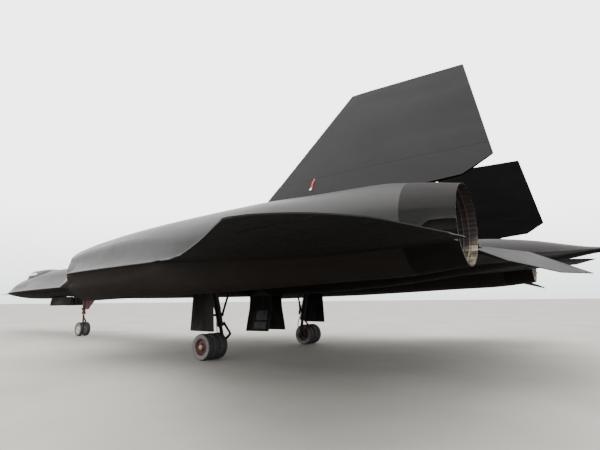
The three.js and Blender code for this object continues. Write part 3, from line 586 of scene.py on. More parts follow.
SKIN = airframe_paint(
    "faded_black_paint", (0.005, 0.0047, 0.0046), (0.017, 0.0158, 0.0152), warm=0.005, gloss=0.14)
NACELLE_SKIN = airframe_paint(
    "nacelle_paint", (0.005, 0.0047, 0.0046), (0.016, 0.0148, 0.0141), 1.46, 0.9, 0.35, 0.34, 0.012)
WING_SKIN = airframe_paint(
    "wing_paint", (0.003, 0.0029, 0.003), (0.008, 0.0077, 0.0076), 1.1, 0.55, 0.5, 0.4, 0.001, 0.1, 0.02)
FIN_SKIN = airframe_paint(
    "fin_paint", (0.0055, 0.0052, 0.0053), (0.012, 0.0114, 0.0115), 2.6, 2.3, 0.12, 0.4, 0.0, 0.13)
RADOME_SKIN = airframe_paint(
    "radome_paint", (0.006, 0.0058, 0.0059), (0.014, 0.0134, 0.0133), 2.9, 2.9, 0.2, 0.36)
print("airframe paints:", SKIN.name, NACELLE_SKIN.name, WING_SKIN.name, FIN_SKIN.name, RADOME_SKIN.name)

# %% [markdown]
# Metals differ from paint in one setting, Metallic, and in what weather does to them. Gear
# legs, doors and forks are painted and greasy, with chips, and small pipes are dull steel.

# %% Metals and gear paint
def metal(name, dark, light, roughness, scale=14):
    """Brushed or dull metal: cloudy tone, finer scratches drawn along x."""
    steel = Finish(name, Metallic=1.0)
    clouds = steel.noise(scale, 4, 0.6)
    scratches = steel.noise(scale * 3, 3, 0.6, (0.2, 1, 1))
    tone = clouds * 0.6 + scratches * 0.4
    return steel.done(Base_Color=steel.ramp(tone, (0, dark), (1, light)),
                      Roughness=roughness + scratches * 0.15,
                      Normal=steel.bump(tone, 0.0006))


def painted_metal(name, dark, light, chips, roughness=0.4, scale=7):
    """Thick gloss paint on a forging: grime in clouds, and small chips down to bare metal."""
    coat = Finish(name, Specular_IOR_Level=0.25)
    clouds = coat.noise(scale, 5, 0.6)
    grime = coat.noise(2.5, 4, 0.6, (1, 1, 0.4))
    chip = coat.noise(34, 4, 0.7, contrast=0.5).step(0.74, 0.8)
    colour = coat.blend(grime * 0.6, coat.ramp(clouds, (0, dark), (1, light)), tuple(c * 0.3 for c in dark))
    return coat.done(Base_Color=coat.blend(chip * 0.8, colour, chips), Metallic=chip * 0.7,
                     Roughness=roughness + grime * 0.3, Normal=coat.bump(clouds * 0.5 - chip * 0.5, 0.0008))


BARE_STEEL = metal("bare_steel", (0.2, 0.19, 0.18), (0.42, 0.4, 0.38), 0.3)
PIPE_STEEL = metal("pipe_steel", (0.07, 0.068, 0.065), (0.16, 0.155, 0.15), 0.42, 20)
ENGINE_METAL = metal("engine_metal", (0.045, 0.04, 0.036), (0.13, 0.115, 0.1), 0.4, 9)
GEAR_PAINT = painted_metal(
    "gear_leg_paint", (0.005, 0.0035, 0.003), (0.013, 0.0095, 0.0085), (0.07, 0.06, 0.055))
FORK_PAINT = painted_metal("fork_paint", (0.03, 0.008, 0.006), (0.07, 0.02, 0.015), (0.15, 0.13, 0.12))
CREAM_HUB = painted_metal("cream_hub_paint", (0.24, 0.2, 0.11), (0.4, 0.35, 0.22), (0.15, 0.13, 0.1), 0.5)
DOOR_LINING = painted_metal(
    "door_lining", (0.0028, 0.0022, 0.0021), (0.007, 0.0055, 0.005), (0.03, 0.027, 0.025), 0.7)
LIGHT_PANEL = painted_metal("pale_access_panel", (0.03, 0.03, 0.031), (0.06, 0.06, 0.061), gray(0.1), 0.5)
print("metals and gear paints made")

# %% [markdown]
# Tyres and wheels change colour with the distance from their axle: a black tread, a sidewall
# that ages to a silvery grey, a dark red wheel and a cream cap. Painting that by hand would
# need a texture map. Here the distance comes from the object's own coordinates, so one line of
# arithmetic places every ring.

# %% Rubber and wheels
def from_axle(finish, x, z):
    """Distance from an axle that lies across the aircraft: the root of the two squares."""
    return ((finish.x - x) ** 2 + (finish.z - z) ** 2) ** 0.5


def rubber(name, x, radius, rim):
    """Tread, sidewall and a thin dark bead, with scuffs and dust in the rubber."""
    tyre = Finish(name, Specular_IOR_Level=0.3)
    away = from_axle(tyre, x, radius)
    dust = tyre.noise(16, 5, 0.65)
    scuffs = tyre.noise(60, 3, 0.6)
    wall = away.step(rim - 0.004, rim + 0.008) * away.step(radius * 0.96, radius * 0.89)
    tread = tyre.ramp(dust * 0.6 + scuffs * 0.4, (0, gray(0.01)), (1, gray(0.032)))
    silver = tyre.ramp(dust * 0.7 + scuffs * 0.3, (0, gray(0.05)), (1, (0.15, 0.152, 0.15)))
    return tyre.done(Base_Color=tyre.blend(wall, tread, silver), Roughness=0.78 - wall * 0.15,
                     Normal=tyre.bump(scuffs * 0.6 + dust * 0.4, 0.0008))


def wheel_paint(name, x, z, cap, disc, paint, shade):
    """A wheel disc: cream cap in the middle, coloured disc, bare rim. Grease darkens it in cloudy patches."""
    wheel = Finish(name, Specular_IOR_Level=0.4)
    away = from_axle(wheel, x, z)
    grease = wheel.noise(26, 4, 0.6)
    colour = wheel.ramp(grease, (0, shade), (1, paint))
    cream = wheel.ramp(grease, (0, (0.12, 0.1, 0.055)), (1, (0.28, 0.24, 0.15)))
    steel = wheel.ramp(grease, (0, gray(0.08)), (1, gray(0.26)))
    colour = wheel.blend(away.step(cap, cap - 0.006), colour, cream)
    rim = away.step(disc, disc + 0.006)
    return wheel.done(Base_Color=wheel.blend(rim, colour, steel), Metallic=rim * 0.6,
                      Roughness=0.42 + grease * 0.25, Normal=wheel.bump(grease, 0.0007))


MAIN_AXLE = (AXLE_X, 0.35)
NOSE_AXLE = (5.285, 0.318)
MAIN_RUBBER = rubber("main_tyre_rubber", *MAIN_AXLE, 0.225)
NOSE_RUBBER = rubber("nose_tyre_rubber", *NOSE_AXLE, 0.19)
MAIN_WHEEL = wheel_paint(
    "main_wheel_paint", *MAIN_AXLE, 0.066, 0.3, (0.075, 0.011, 0.01), (0.022, 0.004, 0.004))
NOSE_WHEEL = wheel_paint(
    "nose_wheel_paint", *NOSE_AXLE, 0.0, 0.165, (0.5, 0.46, 0.36), (0.2, 0.18, 0.14))
print("tyres and wheels:", MAIN_RUBBER.name, NOSE_RUBBER.name, MAIN_WHEEL.name, NOSE_WHEEL.name)

# %% [markdown]
# The jet pipes went through heat. Their steel is stained brown and rust-red in strips along the
# petals, and low down near the exit the petals carry a chalky cream crust with soot between.
# The strips follow the turn round the pipe's middle, so the angle is worked out first.

# %% Nozzle lining
NOZZLE_CENTRE = (4.05, 2.69)         # across and up
NOZZLE_RIM_X = -13.46
PETALS = 30
PETAL_GAP = 0.05
RUNG_SPACING = 0.035


def nozzle_lining():
    """Angle round the pipe picks the petal, height and nearness to the exit pick brown or cream."""
    steel = Finish("heat_stained_petals")
    across = abs(steel.y) - NOZZLE_CENTRE[0]
    above = steel.z - NOZZLE_CENTRE[1]
    turn = above.maths("ARCTAN2", above, across) * (PETALS / (2 * math.pi))
    strip = turn.cell(1)
    gap = turn.lines(1, PETAL_GAP).most(steel.x.lines(RUNG_SPACING, 0.007) * 0.45)
    stains = steel.noise(12, 5, 0.65)
    brown = steel.ramp(strip * 0.5 + stains * 0.5, (0.1, (0.003, 0.002, 0.0016)),
                       (0.5, (0.011, 0.006, 0.0042)), (0.9, (0.028, 0.011, 0.007)))
    crust = steel.ramp(strip * 0.35 + stains * 0.65, (0.1, (0.02, 0.015, 0.01)),
                       (0.5, (0.13, 0.105, 0.07)), (0.9, (0.42, 0.37, 0.27)))
    depth = steel.x - NOZZLE_RIM_X
    low = (above + depth * 1.2 + stains * 0.12).step(0.1, -0.25)
    lining = steel.blend(gap, steel.blend(low, brown, crust), (0.003, 0.002, 0.0018))
    return steel.done(Base_Color=lining, Metallic=0.35,
                      Roughness=0.5 + stains * 0.2, Normal=steel.bump(stains, 0.001))


PETAL_STEEL = nozzle_lining()
NOZZLE_SHELL = airframe_paint(
    "nozzle_paint", (0.004, 0.0038, 0.0037), (0.011, 0.0102, 0.0098), 0.9, 5.0, 0.3, 0.5, 0.002, 0.1)

# %% [markdown]
# The window panes reflect more than they let through. The side panes are a smoky grey, and the
# windshield has a thin gold film. Glass needs the Fresnel effect, which the Principled shader
# has built in: it mirrors more at a flat angle.

# %% Glass, cloth and cockpit finishes
def glass(name, tint, metallic, transmission):
    """Dusty glass: the dust roughens it in places and dulls its colour a little."""
    pane = Finish(name, Transmission_Weight=transmission, IOR=1.5, Coat_Weight=1.0, Coat_Roughness=0.03)
    dust = pane.noise(7, 4, 0.6)
    return pane.done(Base_Color=pane.ramp(dust, (0, tint), (1, tuple(c * 0.75 + 0.02 for c in tint))),
                     Metallic=metallic, Roughness=dust * 0.05 + 0.03)


SIDE_GLASS = glass("smoky_side_glass", (0.2, 0.22, 0.21), 0.0, 0.6)
FRONT_GLASS = glass("gold_filmed_glass", (0.3, 0.22, 0.1), 0.75, 0.2)


def cloth(name, dark, light, threads=900):
    """A plain weave: two sets of fine waves crossed, over slow fading."""
    fabric = Finish(name, Sheen_Weight=0.25, Specular_IOR_Level=0.2)
    turns = threads * 2 * math.pi
    warp = (fabric.x + fabric.z * 0.3) * turns
    weft = (fabric.y + fabric.z) * turns
    weave = warp.maths("SINE", warp) * 0.25 + weft.maths("SINE", weft) * 0.25 + 0.5
    fading = fabric.noise(9, 4, 0.6)
    return fabric.done(Base_Color=fabric.ramp(weave * 0.3 + fading * 0.7, (0, dark), (1, light)),
                       Roughness=0.85 + fading * 0.1, Normal=fabric.bump(weave, 0.0004))


CUSHION_CLOTH = cloth("olive_seat_cloth", (0.045, 0.046, 0.03), (0.1, 0.098, 0.068))
STRAP_CLOTH = cloth("red_strap_cloth", (0.3, 0.014, 0.014), (0.55, 0.035, 0.03), 500)
STRAP_TIP_CLOTH = cloth("pale_strap_tip", (0.5, 0.46, 0.4), (0.75, 0.72, 0.66), 500)
SEAT_PAINT = painted_metal("seat_frame_paint", (0.03, 0.032, 0.03), (0.07, 0.07, 0.066), gray(0.3), 0.5)
COCKPIT_BLACK = painted_metal("cockpit_black", gray(0.008), gray(0.02), gray(0.12), 0.55)
DIAL_FACE = painted_metal("dial_face", gray(0.05), (0.3, 0.3, 0.28), gray(0.5), 0.25, 60)
print("glass, cloth and cockpit finishes made")

# %% [markdown]
# Wing and body share an edge, because the wing's thickness sets how thick the body's chine is. So
# the wing's section comes first: a table of ribs, read off anywhere across the wing, and a double
# arc of thickness round a middle line that droops towards the front and the tip.

# %% The wing's section, which the body's chine also follows
THIN_EDGE = 0.007
FLAT_SHARE = 0.3
RIBS = [
    ["y", "lead", "trail", "thick", "lead_droop", "trail_droop"],
    [0.9, 7.4, -8.955, 0.42, 0, 0], [1.45, 6.45, -8.794, 0.39, 0, 0],
    [2.5, 4.636, -8.488, 0.352, 0, 0], [3.1, 3.6, -7.79, 0.33, 0, 0],
    [4.7, -0.291, -7.5, 0.212, 0, 0.062], [5.0, -1.02, -7.51, 0.19, 0, 0.068],
    [5.8, -2.3, -7.522, 0.16, 0.13, 0.114], [6.6, -3.59, -7.288, 0.125, 0.236, 0.093],
    [7.0, -4.23, -7.171, 0.105, 0.264, 0.086], [7.3, -4.71, -7.084, 0.09, 0.287, 0.101],
    [7.65, -5.275, -6.981, 0.074, 0.285, 0.126], [7.95, -5.76, -6.894, 0.06, 0.282, 0.16],
    [8.35, -6.4, -6.777, 0.032, 0.266, 0.224], [8.475, -6.62, -6.74, 0.018, 0.255, 0.253],
]
SINK = {"start": -2.0, "full": -6.5, "depth": 0.1}
RIB_Y = column(RIBS, "y")
WING_TIP = RIB_Y[-1]


def rib(name, y):
    """A column of the rib table at any y: straight between ribs for the edges, smooth for the rest."""
    if name in ("lead", "trail"):
        return np.interp(y, RIB_Y, column(RIBS, name))
    return read_off(RIBS, name, y)


def smooth_step(share):
    """3t^2 - 2t^3: from 0 to 1, level at both ends."""
    share = np.clip(share, 0, 1)
    return share * share * (3 - 2 * share)


def sink(x):
    """How far the rear of the wing's plane lies below the plane of the chines."""
    return SINK["depth"] * smooth_step((SINK["start"] - x) / (SINK["start"] - SINK["full"]))


def wing_surface(x, y, side):
    """Height of the wing's upper (1) or lower (-1) surface: a double arc of thickness round a middle
    line that droops with the square of the distance ahead of the flat rear part."""
    lead, trail = rib("lead", y), rib("trail", y)
    x = np.clip(x, trail, lead)
    share = (lead - x) / (lead - trail)
    half = THIN_EDGE + 2 * (rib("thick", y) - 2 * THIN_EDGE) * share * (1 - share)
    bend = np.maximum(0, 1 - share / (1 - FLAT_SHARE)) ** 2
    front, rear = rib("lead_droop", y), rib("trail_droop", y)
    return -rear - (front - rear) * bend - sink(x) + side * half


def wing_half(x, y):
    """Half the distance between the two surfaces."""
    return (wing_surface(x, y, 1) - wing_surface(x, y, -1)) / 2


print("wing half thickness at the body", round(float(wing_half(0.0, 1.45)), 3), "m")

# %% [markdown]
# The body is one long loft: an oval crown on top, a flatter keel below and a sharp chine on
# each side. Drawing it by hand with a subdivided cage would drift away from the mechanical
# model, so the same stations are read off smoothly and each ring follows a formula: from the
# chine a quadratic curve runs level and then bends up to meet a circle, and the circle goes on
# to the crown.

# %% A ring of the body
ROUND_SHARE = 0.97
FAIRING = np.linspace(0, 1, 13)[None, :-1]
ROUND = np.linspace(0, 1, 13)[None, :]


def quarter(half, edge, height, radius, shoulder, flare=0.0):
    """From a side edge up to the crown: a quadratic curve that leaves level from the edge and meets
    the circle at the shoulder, then the circle. `flare` draws the curve's bend in towards the body,
    which makes the flank hollow above the chine."""
    half, edge, height, radius, shoulder = (
        np.asarray(a, float)[:, None] for a in np.broadcast_arrays(half, edge, height, radius, shoulder))
    reach = np.minimum(shoulder, radius * ROUND_SHARE)
    start = np.arccos(reach / radius)
    centre = height - radius
    join = np.maximum(centre + radius * np.sin(start), edge)
    bend = np.minimum(reach + (join - edge) * np.tan(start), half)
    bend = bend - flare * (bend - reach)
    y = (1 - FAIRING) ** 2 * half + 2 * FAIRING * (1 - FAIRING) * bend + FAIRING ** 2 * reach
    z = (1 - FAIRING ** 2) * edge + FAIRING ** 2 * join
    angle = start + (np.pi / 2 - start) * ROUND
    return (np.concatenate([y, radius * np.cos(angle)], 1),
            np.concatenate([z, np.maximum(centre + radius * np.sin(angle), edge)], 1))


def ring_of(x, middle, port, starboard, top, bottom, crown, keel, shoulder, flare=0.0):
    """Four quarters joined into closed rings, from the port chine over the crown to starboard and
    back under the keel. `port` and `starboard` are the flanks: half width, upper and lower edge."""
    upper, lower = (top, crown), (-bottom, keel)
    across, heights = [], []
    for side, up, flank, (height, radius) in (
            (1, 1, port, upper), (-1, 1, starboard, upper), (-1, -1, starboard, lower), (1, -1, port, lower)):
        half, high, low = flank
        y, z = quarter(half, high if up > 0 else -low, height, radius, shoulder, flare)
        if side != up:
            y, z = y[:, -2::-1], z[:, -2::-1]
        across.append(side * y)
        heights.append(up * z)
    y, z = np.concatenate(across, 1), np.concatenate(heights, 1)
    return grid(np.asarray(x)[:, None], middle + y, z)


BODY = [
    ["x", "half", "top", "bottom", "crown", "round"],
    [-9.25, 0.045, 0.02, -0.045, 0.06, 0.82], [-8.86, 0.25, 0.065, -0.085, 0.26, 0.82],
    [-8.5, 0.48, 0.14, -0.15, 0.42, 0.82], [-7.8, 0.94, 0.305, -0.215, 0.62, 0.82],
    [-7.12, 1.09, 0.41, -0.29, 0.7, 0.9], [-6.0, 1.29, 0.505, -0.41, 0.78, 1.15],
    [-4.3, 1.45, 0.63, -0.57, 0.82, 1.45], [-2.0, 1.45, 0.76, -0.68, 0.82, 1.45],
    [0.0, 1.45, 0.84, -0.715, 0.82, 1.45], [3.0, 1.45, 0.91, -0.68, 0.82, 1.45],
    [6.45, 1.45, 0.985, -0.62, 0.82, 1.45], [7.6, 1.44, 1.005, -0.59, 0.82, 1.4],
    [9.5, 1.42, 1.03, -0.55, 0.82, 1.2], [12.0, 1.35, 1.055, -0.5, 0.82, 0.82],
    [13.74, 1.27, 1.066, -0.445, 0.82, 0.82], [15.1, 1.19, 1.01, -0.415, 0.79, 0.82],
    [16.3, 1.08, 0.9, -0.385, 0.72, 0.82], [17.49, 0.9, 0.755, -0.33, 0.58, 0.82],
    [18.49, 0.67, 0.58, -0.245, 0.45, 0.82], [19.42, 0.4, 0.33, -0.145, 0.27, 0.82],
    [20.05, 0.19, 0.15, -0.065, 0.13, 0.82], [20.4, 0.045, 0.04, -0.025, 0.045, 0.82],
]
TAIL_END = BODY[1][0]
TAIL_RISE = 1.45
SHOULDER = 0.7
STATION = 0.12


def body_rings(x, skin=0.0):
    """Rings of the body at the given stations, or of a surface that lies `skin` inside it."""
    half, top, bottom, crown, keel = (read_off(BODY, name, x) for name in BODY[0][1:])
    edge = np.minimum(np.minimum(wing_half(x, np.maximum(half, RIB_Y[0])), top * 0.8), -bottom * 0.8)
    edge = np.maximum(edge - skin, 0.001)
    middle = -sink(x) * smooth_step((x - TAIL_END) / TAIL_RISE)
    side = (half - skin, middle + edge, middle - edge)
    keel = np.minimum(keel, np.maximum(half, -bottom)) - skin
    return ring_of(x, 0, side, side, top - skin, bottom + skin, crown - skin, keel,
                   np.minimum(SHOULDER - skin, side[0] * 0.8))


def stations(start, end, spacing=STATION):
    """Even steps from start to end, about `spacing` apart and at least three."""
    return np.linspace(start, end, max(3, round(abs(end - start) / spacing) + 1))


print("one ring has", body_rings(np.array([0.0])).shape[1], "points")

# %% [markdown]
# The body is parted where the mechanical model parts it, with a hair of a gap that reads as a
# joint in the skin. Wells for the nose wheels and the main wheels are cut with box-shaped
# tools by Boolean modifiers, because a well has sharp straight walls that a loft can't give.

# %% Body segments and wells
JOINT_GAP = 0.003
BREAKS = {"tail": -4.3, "wing": 6.45, "cockpit": 14.1, "nose": 18.49}
NOSE_BAY = {"x": (11.75, 14.0), "half": 0.42, "top": -0.06}
LEG_SLOT = {"x": (10.7, 11.75), "half": 0.22}
PAD_RADIUS = 0.07
NOSE_PAD = ((9.9, 0, -0.575), (9.9, 0, -0.45))
WING_PAD = ((1.4, 2.1, -0.19), (1.4, 2.1, -0.06))
WHEEL_BAY = {"x": (-0.42, 0.52), "y": (0.22, 1.25), "top": 0.14}
BELOW = -0.9


def segment(start, end):
    """The body between two stations, closed at both ends."""
    return solid_of([shell(body_rings(stations(start, end)))])


def well(x, y, z):
    """A box that cuts a well with straight walls."""
    return solid_of([block(x, y, z, 0.001)])


tail = segment(column(BODY, "x")[0], BREAKS["tail"] - JOINT_GAP)
dress("tail_cone", settled(tail), SKIN)

centre = segment(BREAKS["tail"], BREAKS["wing"] - JOINT_GAP)
for sign in SIDES.values():
    near, far = sorted(sign * y for y in WHEEL_BAY["y"])
    carve(centre, well(WHEEL_BAY["x"], (near, far), (BELOW, WHEEL_BAY["top"])))
dress("centre_fuselage", settled(centre), SKIN)

mid = segment(BREAKS["wing"], BREAKS["cockpit"] - JOINT_GAP)
slot_aft, slot_front = LEG_SLOT["x"]
bay_front, bay_half, slot_half = NOSE_BAY["x"][1], NOSE_BAY["half"], LEG_SLOT["half"]
bay_plan = [(slot_aft, -slot_half), (slot_front, -slot_half), (slot_front, -bay_half), (bay_front, -bay_half)]
bay_plan += [(x, -y) for x, y in bay_plan[::-1]]
carve(mid, solid_of([plate(bay_plan, BELOW, NOSE_BAY["top"], 2, 0.001)]))
dress("mid_fuselage", settled(mid), SKIN)
fitting("forward_jack_pad", "mid_fuselage", settled([rod(*NOSE_PAD, PAD_RADIUS, 32)]), SKIN)

nose = segment(BREAKS["nose"], column(BODY, "x")[-1])
dress("nose_cone", settled(nose), RADOME_SKIN)
print("body segments:", [len(shape.data.polygons) for shape in (tail, centre, mid, nose)], "faces")

# %% [markdown]
# The cockpit hood stands on the body and is parted into canopy and windshield by slanted
# planes. The real panes lie flush in the same skin, so frame and glass are cut from one shell:
# the window outline is taken out of the frame and, a hair smaller, kept for the pane. That way
# a curved pane fits its curved frame exactly.

# %% Hood, canopy and windshield
HOOD = [
    ["x", "half", "top"],
    [14.2, 0.33, 1.08], [15.15, 0.5, 1.15], [16.28, 0.51, 1.14],
    [16.6, 0.48, 1.075], [17.15, 0.33, 0.88], [17.56, 0.12, 0.745],
]
HOOD_FOOT = 0.3
HOOD_SHELL = 0.038
CANOPY = {"aft": 15.15, "front": 16.61, "front_sill": 16.545, "sill": 0.76, "above": 1.1}
WINDSHIELD = {"front": 17.6, "half": 0.56}
PANE_GAP = 0.0015
CANOPY_SLOT = 0.008
WINDSHIELD_SLOT = 0.0003
KNIFE = 0.0001
SIDE_WINDOW = [(15.56, 0.85), (15.64, 0.985), (16.33, 0.985), (16.46, 0.85)]
FRONT_PANE = [(16.68, 0.06), (16.68, 0.33), (16.86, 0.33), (17.26, 0.15), (17.33, 0.06)]
COCKPIT_WELL = [(15.2, -0.4), (17.05, -0.4), (17.3, -0.25), (17.3, 0.25), (17.05, 0.4), (15.2, 0.4)]
COCKPIT_FLOOR = -0.12


def hood_rings(x, inset=0.0):
    """An upright side that rounds over to the top: a cubic through six points a ring, the same
    shares of half width and the same drops below the top at each station."""
    half, top = ((read_off(HOOD, name, x - inset) - inset)[:, None] for name in ("half", "top"))
    knots = np.arange(6)
    at = np.linspace(0, 5, 26)
    wide = smooth(knots, [1, 1, 0.93, 0.62, 0.3, 0], at)[None, :]
    drop = smooth(knots, [1, 0.33, 0.17, 0.04, 0.008, 0], at)[None, :]
    z = np.where(at[None, :] < 1, HOOD_FOOT + (top - 0.33 - HOOD_FOOT) * at[None, :], top - drop)
    y = half * wide
    y, z = np.concatenate([y, -y[:, -2::-1]], 1), np.concatenate([z, z[:, -2::-1]], 1)
    return grid(x[:, None], y, z)


def copy_of(shape):
    """A second object with its own mesh."""
    return placed("shape", shape.data.copy())


def canopy_zone(gap):
    """The canopy's outline in side view, right across the body, `gap` smaller all round."""
    aft, front, sill = CANOPY["aft"] + gap, CANOPY["front"] - gap, CANOPY["sill"] + gap
    return solid_of([plate([(aft, sill), (CANOPY["front_sill"] - gap, sill), (front, CANOPY["above"]),
                            (front, 2), (aft, 2)], -0.9, 0.9, 1, KNIFE)])


def windshield_zone(gap):
    """The windshield's outline in side view, between its own sides, `gap` smaller."""
    aft, front, sill = CANOPY["front"] + gap, WINDSHIELD["front"] - gap, CANOPY["sill"] + gap
    half = WINDSHIELD["half"] - gap
    return solid_of([plate([(CANOPY["front_sill"] + gap, sill), (front, sill), (front, 2), (aft, 2),
                            (aft, CANOPY["above"])], -half, half, 1, KNIFE)])


def drawn_in(outline, by):
    """An outline moved inwards by about `by`: each corner goes towards the middle."""
    corners = np.asarray(outline, float)
    arm = corners.mean(0) - corners
    return corners + arm * by / np.linalg.norm(arm, axis=1, keepdims=True)


def side_opening(sign, gap):
    """The side window's outline in side view, drawn in by `gap`."""
    low, high = sorted((sign * 0.2, sign * 0.9))
    return solid_of([plate(rounded(drawn_in(SIDE_WINDOW, gap), 0.035), low, high, 1, KNIFE)])


def front_opening(sign, gap):
    """The front pane's outline in plan, drawn in by `gap`."""
    outline = rounded(drawn_in([(x, sign * y) for x, y in FRONT_PANE], gap), 0.03)
    return solid_of([plate(outline, CANOPY["sill"] + 0.02 + gap, 1.4, 2, KNIFE)])


cowl = segment(BREAKS["cockpit"], BREAKS["nose"] - JOINT_GAP)
carve(cowl, solid_of([shell(hood_rings(stations(14.2, 17.56, 0.04)))]), "UNION")
inside = solid_of([shell(hood_rings(stations(15.112, 17.188, 0.04), HOOD_SHELL))])
canopy = carve(carve(copy_of(cowl), canopy_zone(CANOPY_SLOT), "INTERSECT"), copy_of(inside))
windshield = carve(carve(copy_of(cowl), windshield_zone(WINDSHIELD_SLOT), "INTERSECT"), inside)
for side, sign in SIDES.items():
    pane = carve(copy_of(canopy), side_opening(sign, PANE_GAP), "INTERSECT")
    dress(f"{side}_canopy_glass", settled(pane), SIDE_GLASS, f"{side}_canopy_pane")
    pane = carve(copy_of(windshield), front_opening(sign, PANE_GAP), "INTERSECT")
    dress(f"{side}_windshield_glass", settled(pane), FRONT_GLASS, f"{side}_windshield_pane")
for sign in SIDES.values():
    carve(canopy, side_opening(sign, 0))
    carve(windshield, front_opening(sign, 0))
carve(cowl, canopy_zone(0))
carve(cowl, windshield_zone(-WINDSHIELD_SLOT))
carve(cowl, solid_of([plate(COCKPIT_WELL, COCKPIT_FLOOR, CANOPY["sill"] + 0.06, 2, 0.001)]))
dress("canopy_frame", settled(canopy), SKIN, "canopy_shell")
dress("windshield_frame", settled(windshield), SKIN, "windshield_shell")
dress("cockpit_section", settled(cowl), SKIN)
print("cockpit:", [len(shape.data.polygons) for shape in (cowl, canopy, windshield)], "faces")

# %% [markdown]
# A delta wing is thin, so a faceted one gives itself away along its edges. Each panel here is a
# grid in plan, and the section formula above gives the height of both surfaces at every grid
# point. The inner end of a panel follows the curved side of the body or the nacelle and hides
# just inside it. Where an elevon sits, the panel stops short at the elevon's cove.

# %% Nacelle outline, which the wing panels meet
NACELLE_Y = 4.05
FLANK = 0.95
NOZZLE_EXIT = -7.35
NOZZLE_FRONT = -6.55
INLET_LIP = 3.4
NACELLE = [
    ["x", "outboard", "inboard", "top", "bottom"],
    [NOZZLE_EXIT, 0.66, 0.66, 0.79, -0.49], [-7.05, 0.7, 0.7, 0.855, -0.52],
    [NOZZLE_FRONT, 0.77, 0.77, 0.94, -0.57], [-6.1, 0.83, 0.85, 1.002, -0.597],
    [-4.9, 0.9, 0.93, 1.04, -0.622], [-3.3, 0.94, FLANK, 1.095, -0.668],
    [-1.02, FLANK, FLANK, 1.07, -0.714], [0.5, 0.93, FLANK, 1.02, -0.724],
    [1.5, 0.9, FLANK, 0.96, -0.738], [2.5, 0.85, 0.9, 0.88, -0.746],
    [3.1, 0.787, 0.815, 0.81, -0.757], [INLET_LIP, 0.745, 0.745, 0.77, -0.757],
]
TUCKED = 0.012
COVE = 0.01
SIDE_GAP = 0.03
ELEVONS = {
    "inner_elevon": ((-7.8, 1.02), (-7.08, 3.15)),
    "outer_elevon": ((-6.15, 4.93), (-6.26, 7.65)),
}
DROOP = {"port_inner_elevon": 24.5, "starboard_inner_elevon": 1,
         "port_outer_elevon": 0, "starboard_outer_elevon": 19}


def body_side(x, y):
    """y of the body's flank, less the tuck."""
    return read_off(BODY, "half", x) - TUCKED


def inner_flank(x, y):
    """y of the nacelle's inboard side, a tuck inside its skin."""
    return NACELLE_Y - read_off(NACELLE, "inboard", np.clip(x, NOZZLE_EXIT, INLET_LIP)) + TUCKED


def outer_flank(x, y):
    """y of the nacelle's outboard side, a tuck inside its skin."""
    return NACELLE_Y + read_off(NACELLE, "outboard", np.clip(x, NOZZLE_EXIT, INLET_LIP)) - TUCKED


def hinge_x(name, y):
    """The hinge line of an elevon as x at any y."""
    (x0, y0), (x1, y1) = ELEVONS[name]
    return x0 + (x1 - x0) * (y - y0) / (y1 - y0)


def cove_x(name, y):
    """The cove stands ahead of the hinge by the elevon's nose radius and a little room."""
    (x0, y0), (x1, y1) = ELEVONS[name]
    nose = max(float(wing_half(x0, y0)), float(wing_half(x1, y1))) + COVE
    return hinge_x(name, y) + nose * math.dist((x0, y0), (x1, y1)) / (y1 - y0)


CHORD_STEPS = 42
STRIP_LAP = 0.02


def wing_panel(y, front, aft, inner, outer=None):
    """A closed slab over rows of constant y. Columns go from aft to front over the top and back
    underneath, spaced by a cosine so that they crowd at the edges. `inner` and `outer` give the y
    of the flanks that the first and last row follow; rows between move along with them."""
    share = (1 - np.cos(np.linspace(0, np.pi, CHORD_STEPS))) / 2
    plan_y = np.repeat(y[:, None], CHORD_STEPS, 1)
    x = aft(y)[:, None] + (front(y) - aft(y))[:, None] * share[None, :]
    fade = np.clip((y[-1] - plan_y) / (y[-1] - y[0]), 0, 1)
    drawn = plan_y + (inner(x, plan_y) - y[0]) * fade
    if outer is not None:
        drawn = drawn + (outer(x, plan_y) - y[-1]) * (1 - fade)
    return slab(*(grid(x, drawn, wing_surface(x, drawn, face)) for face in (1, -1)))


def strip(name, y, inner, outer):
    """The narrow slab that runs on beside an elevon, from its cove to the nozzle's exit."""
    return wing_panel(np.linspace(*y, 5), lambda y: cove_x(name, y) + STRIP_LAP,
                      lambda y: NOZZLE_EXIT + 0 * y, inner, outer)


def stay(level):
    """A flank that stays at one y."""
    return lambda x, y: level + 0 * x


INNER_OUT = ELEVONS["inner_elevon"][1][1] + SIDE_GAP
OUTER_IN = ELEVONS["outer_elevon"][0][1] - SIDE_GAP
OUTER_OUT = ELEVONS["outer_elevon"][1][1] + SIDE_GAP
LEG_BAY = {"x": (-0.42, 0.52), "y": (1.46, 2.9), "top": 0.06}


def inner_wing():
    """The main slab ahead of the cove, and a strip between the elevon's outer end and the nozzle."""
    rows = np.linspace(1.44, 3.2, 44)
    main = wing_panel(rows, lambda y: rib("lead", y), lambda y: cove_x("inner_elevon", y),
                      body_side, inner_flank)
    wing = solid_of([main, strip("inner_elevon", (INNER_OUT, 3.3), stay(INNER_OUT), inner_flank)])
    carve(wing, well(LEG_BAY["x"], LEG_BAY["y"], (BELOW, LEG_BAY["top"])))
    carve(wing, solid_of([rod(*WING_PAD, PAD_RADIUS, 32)]), "UNION")
    return wing


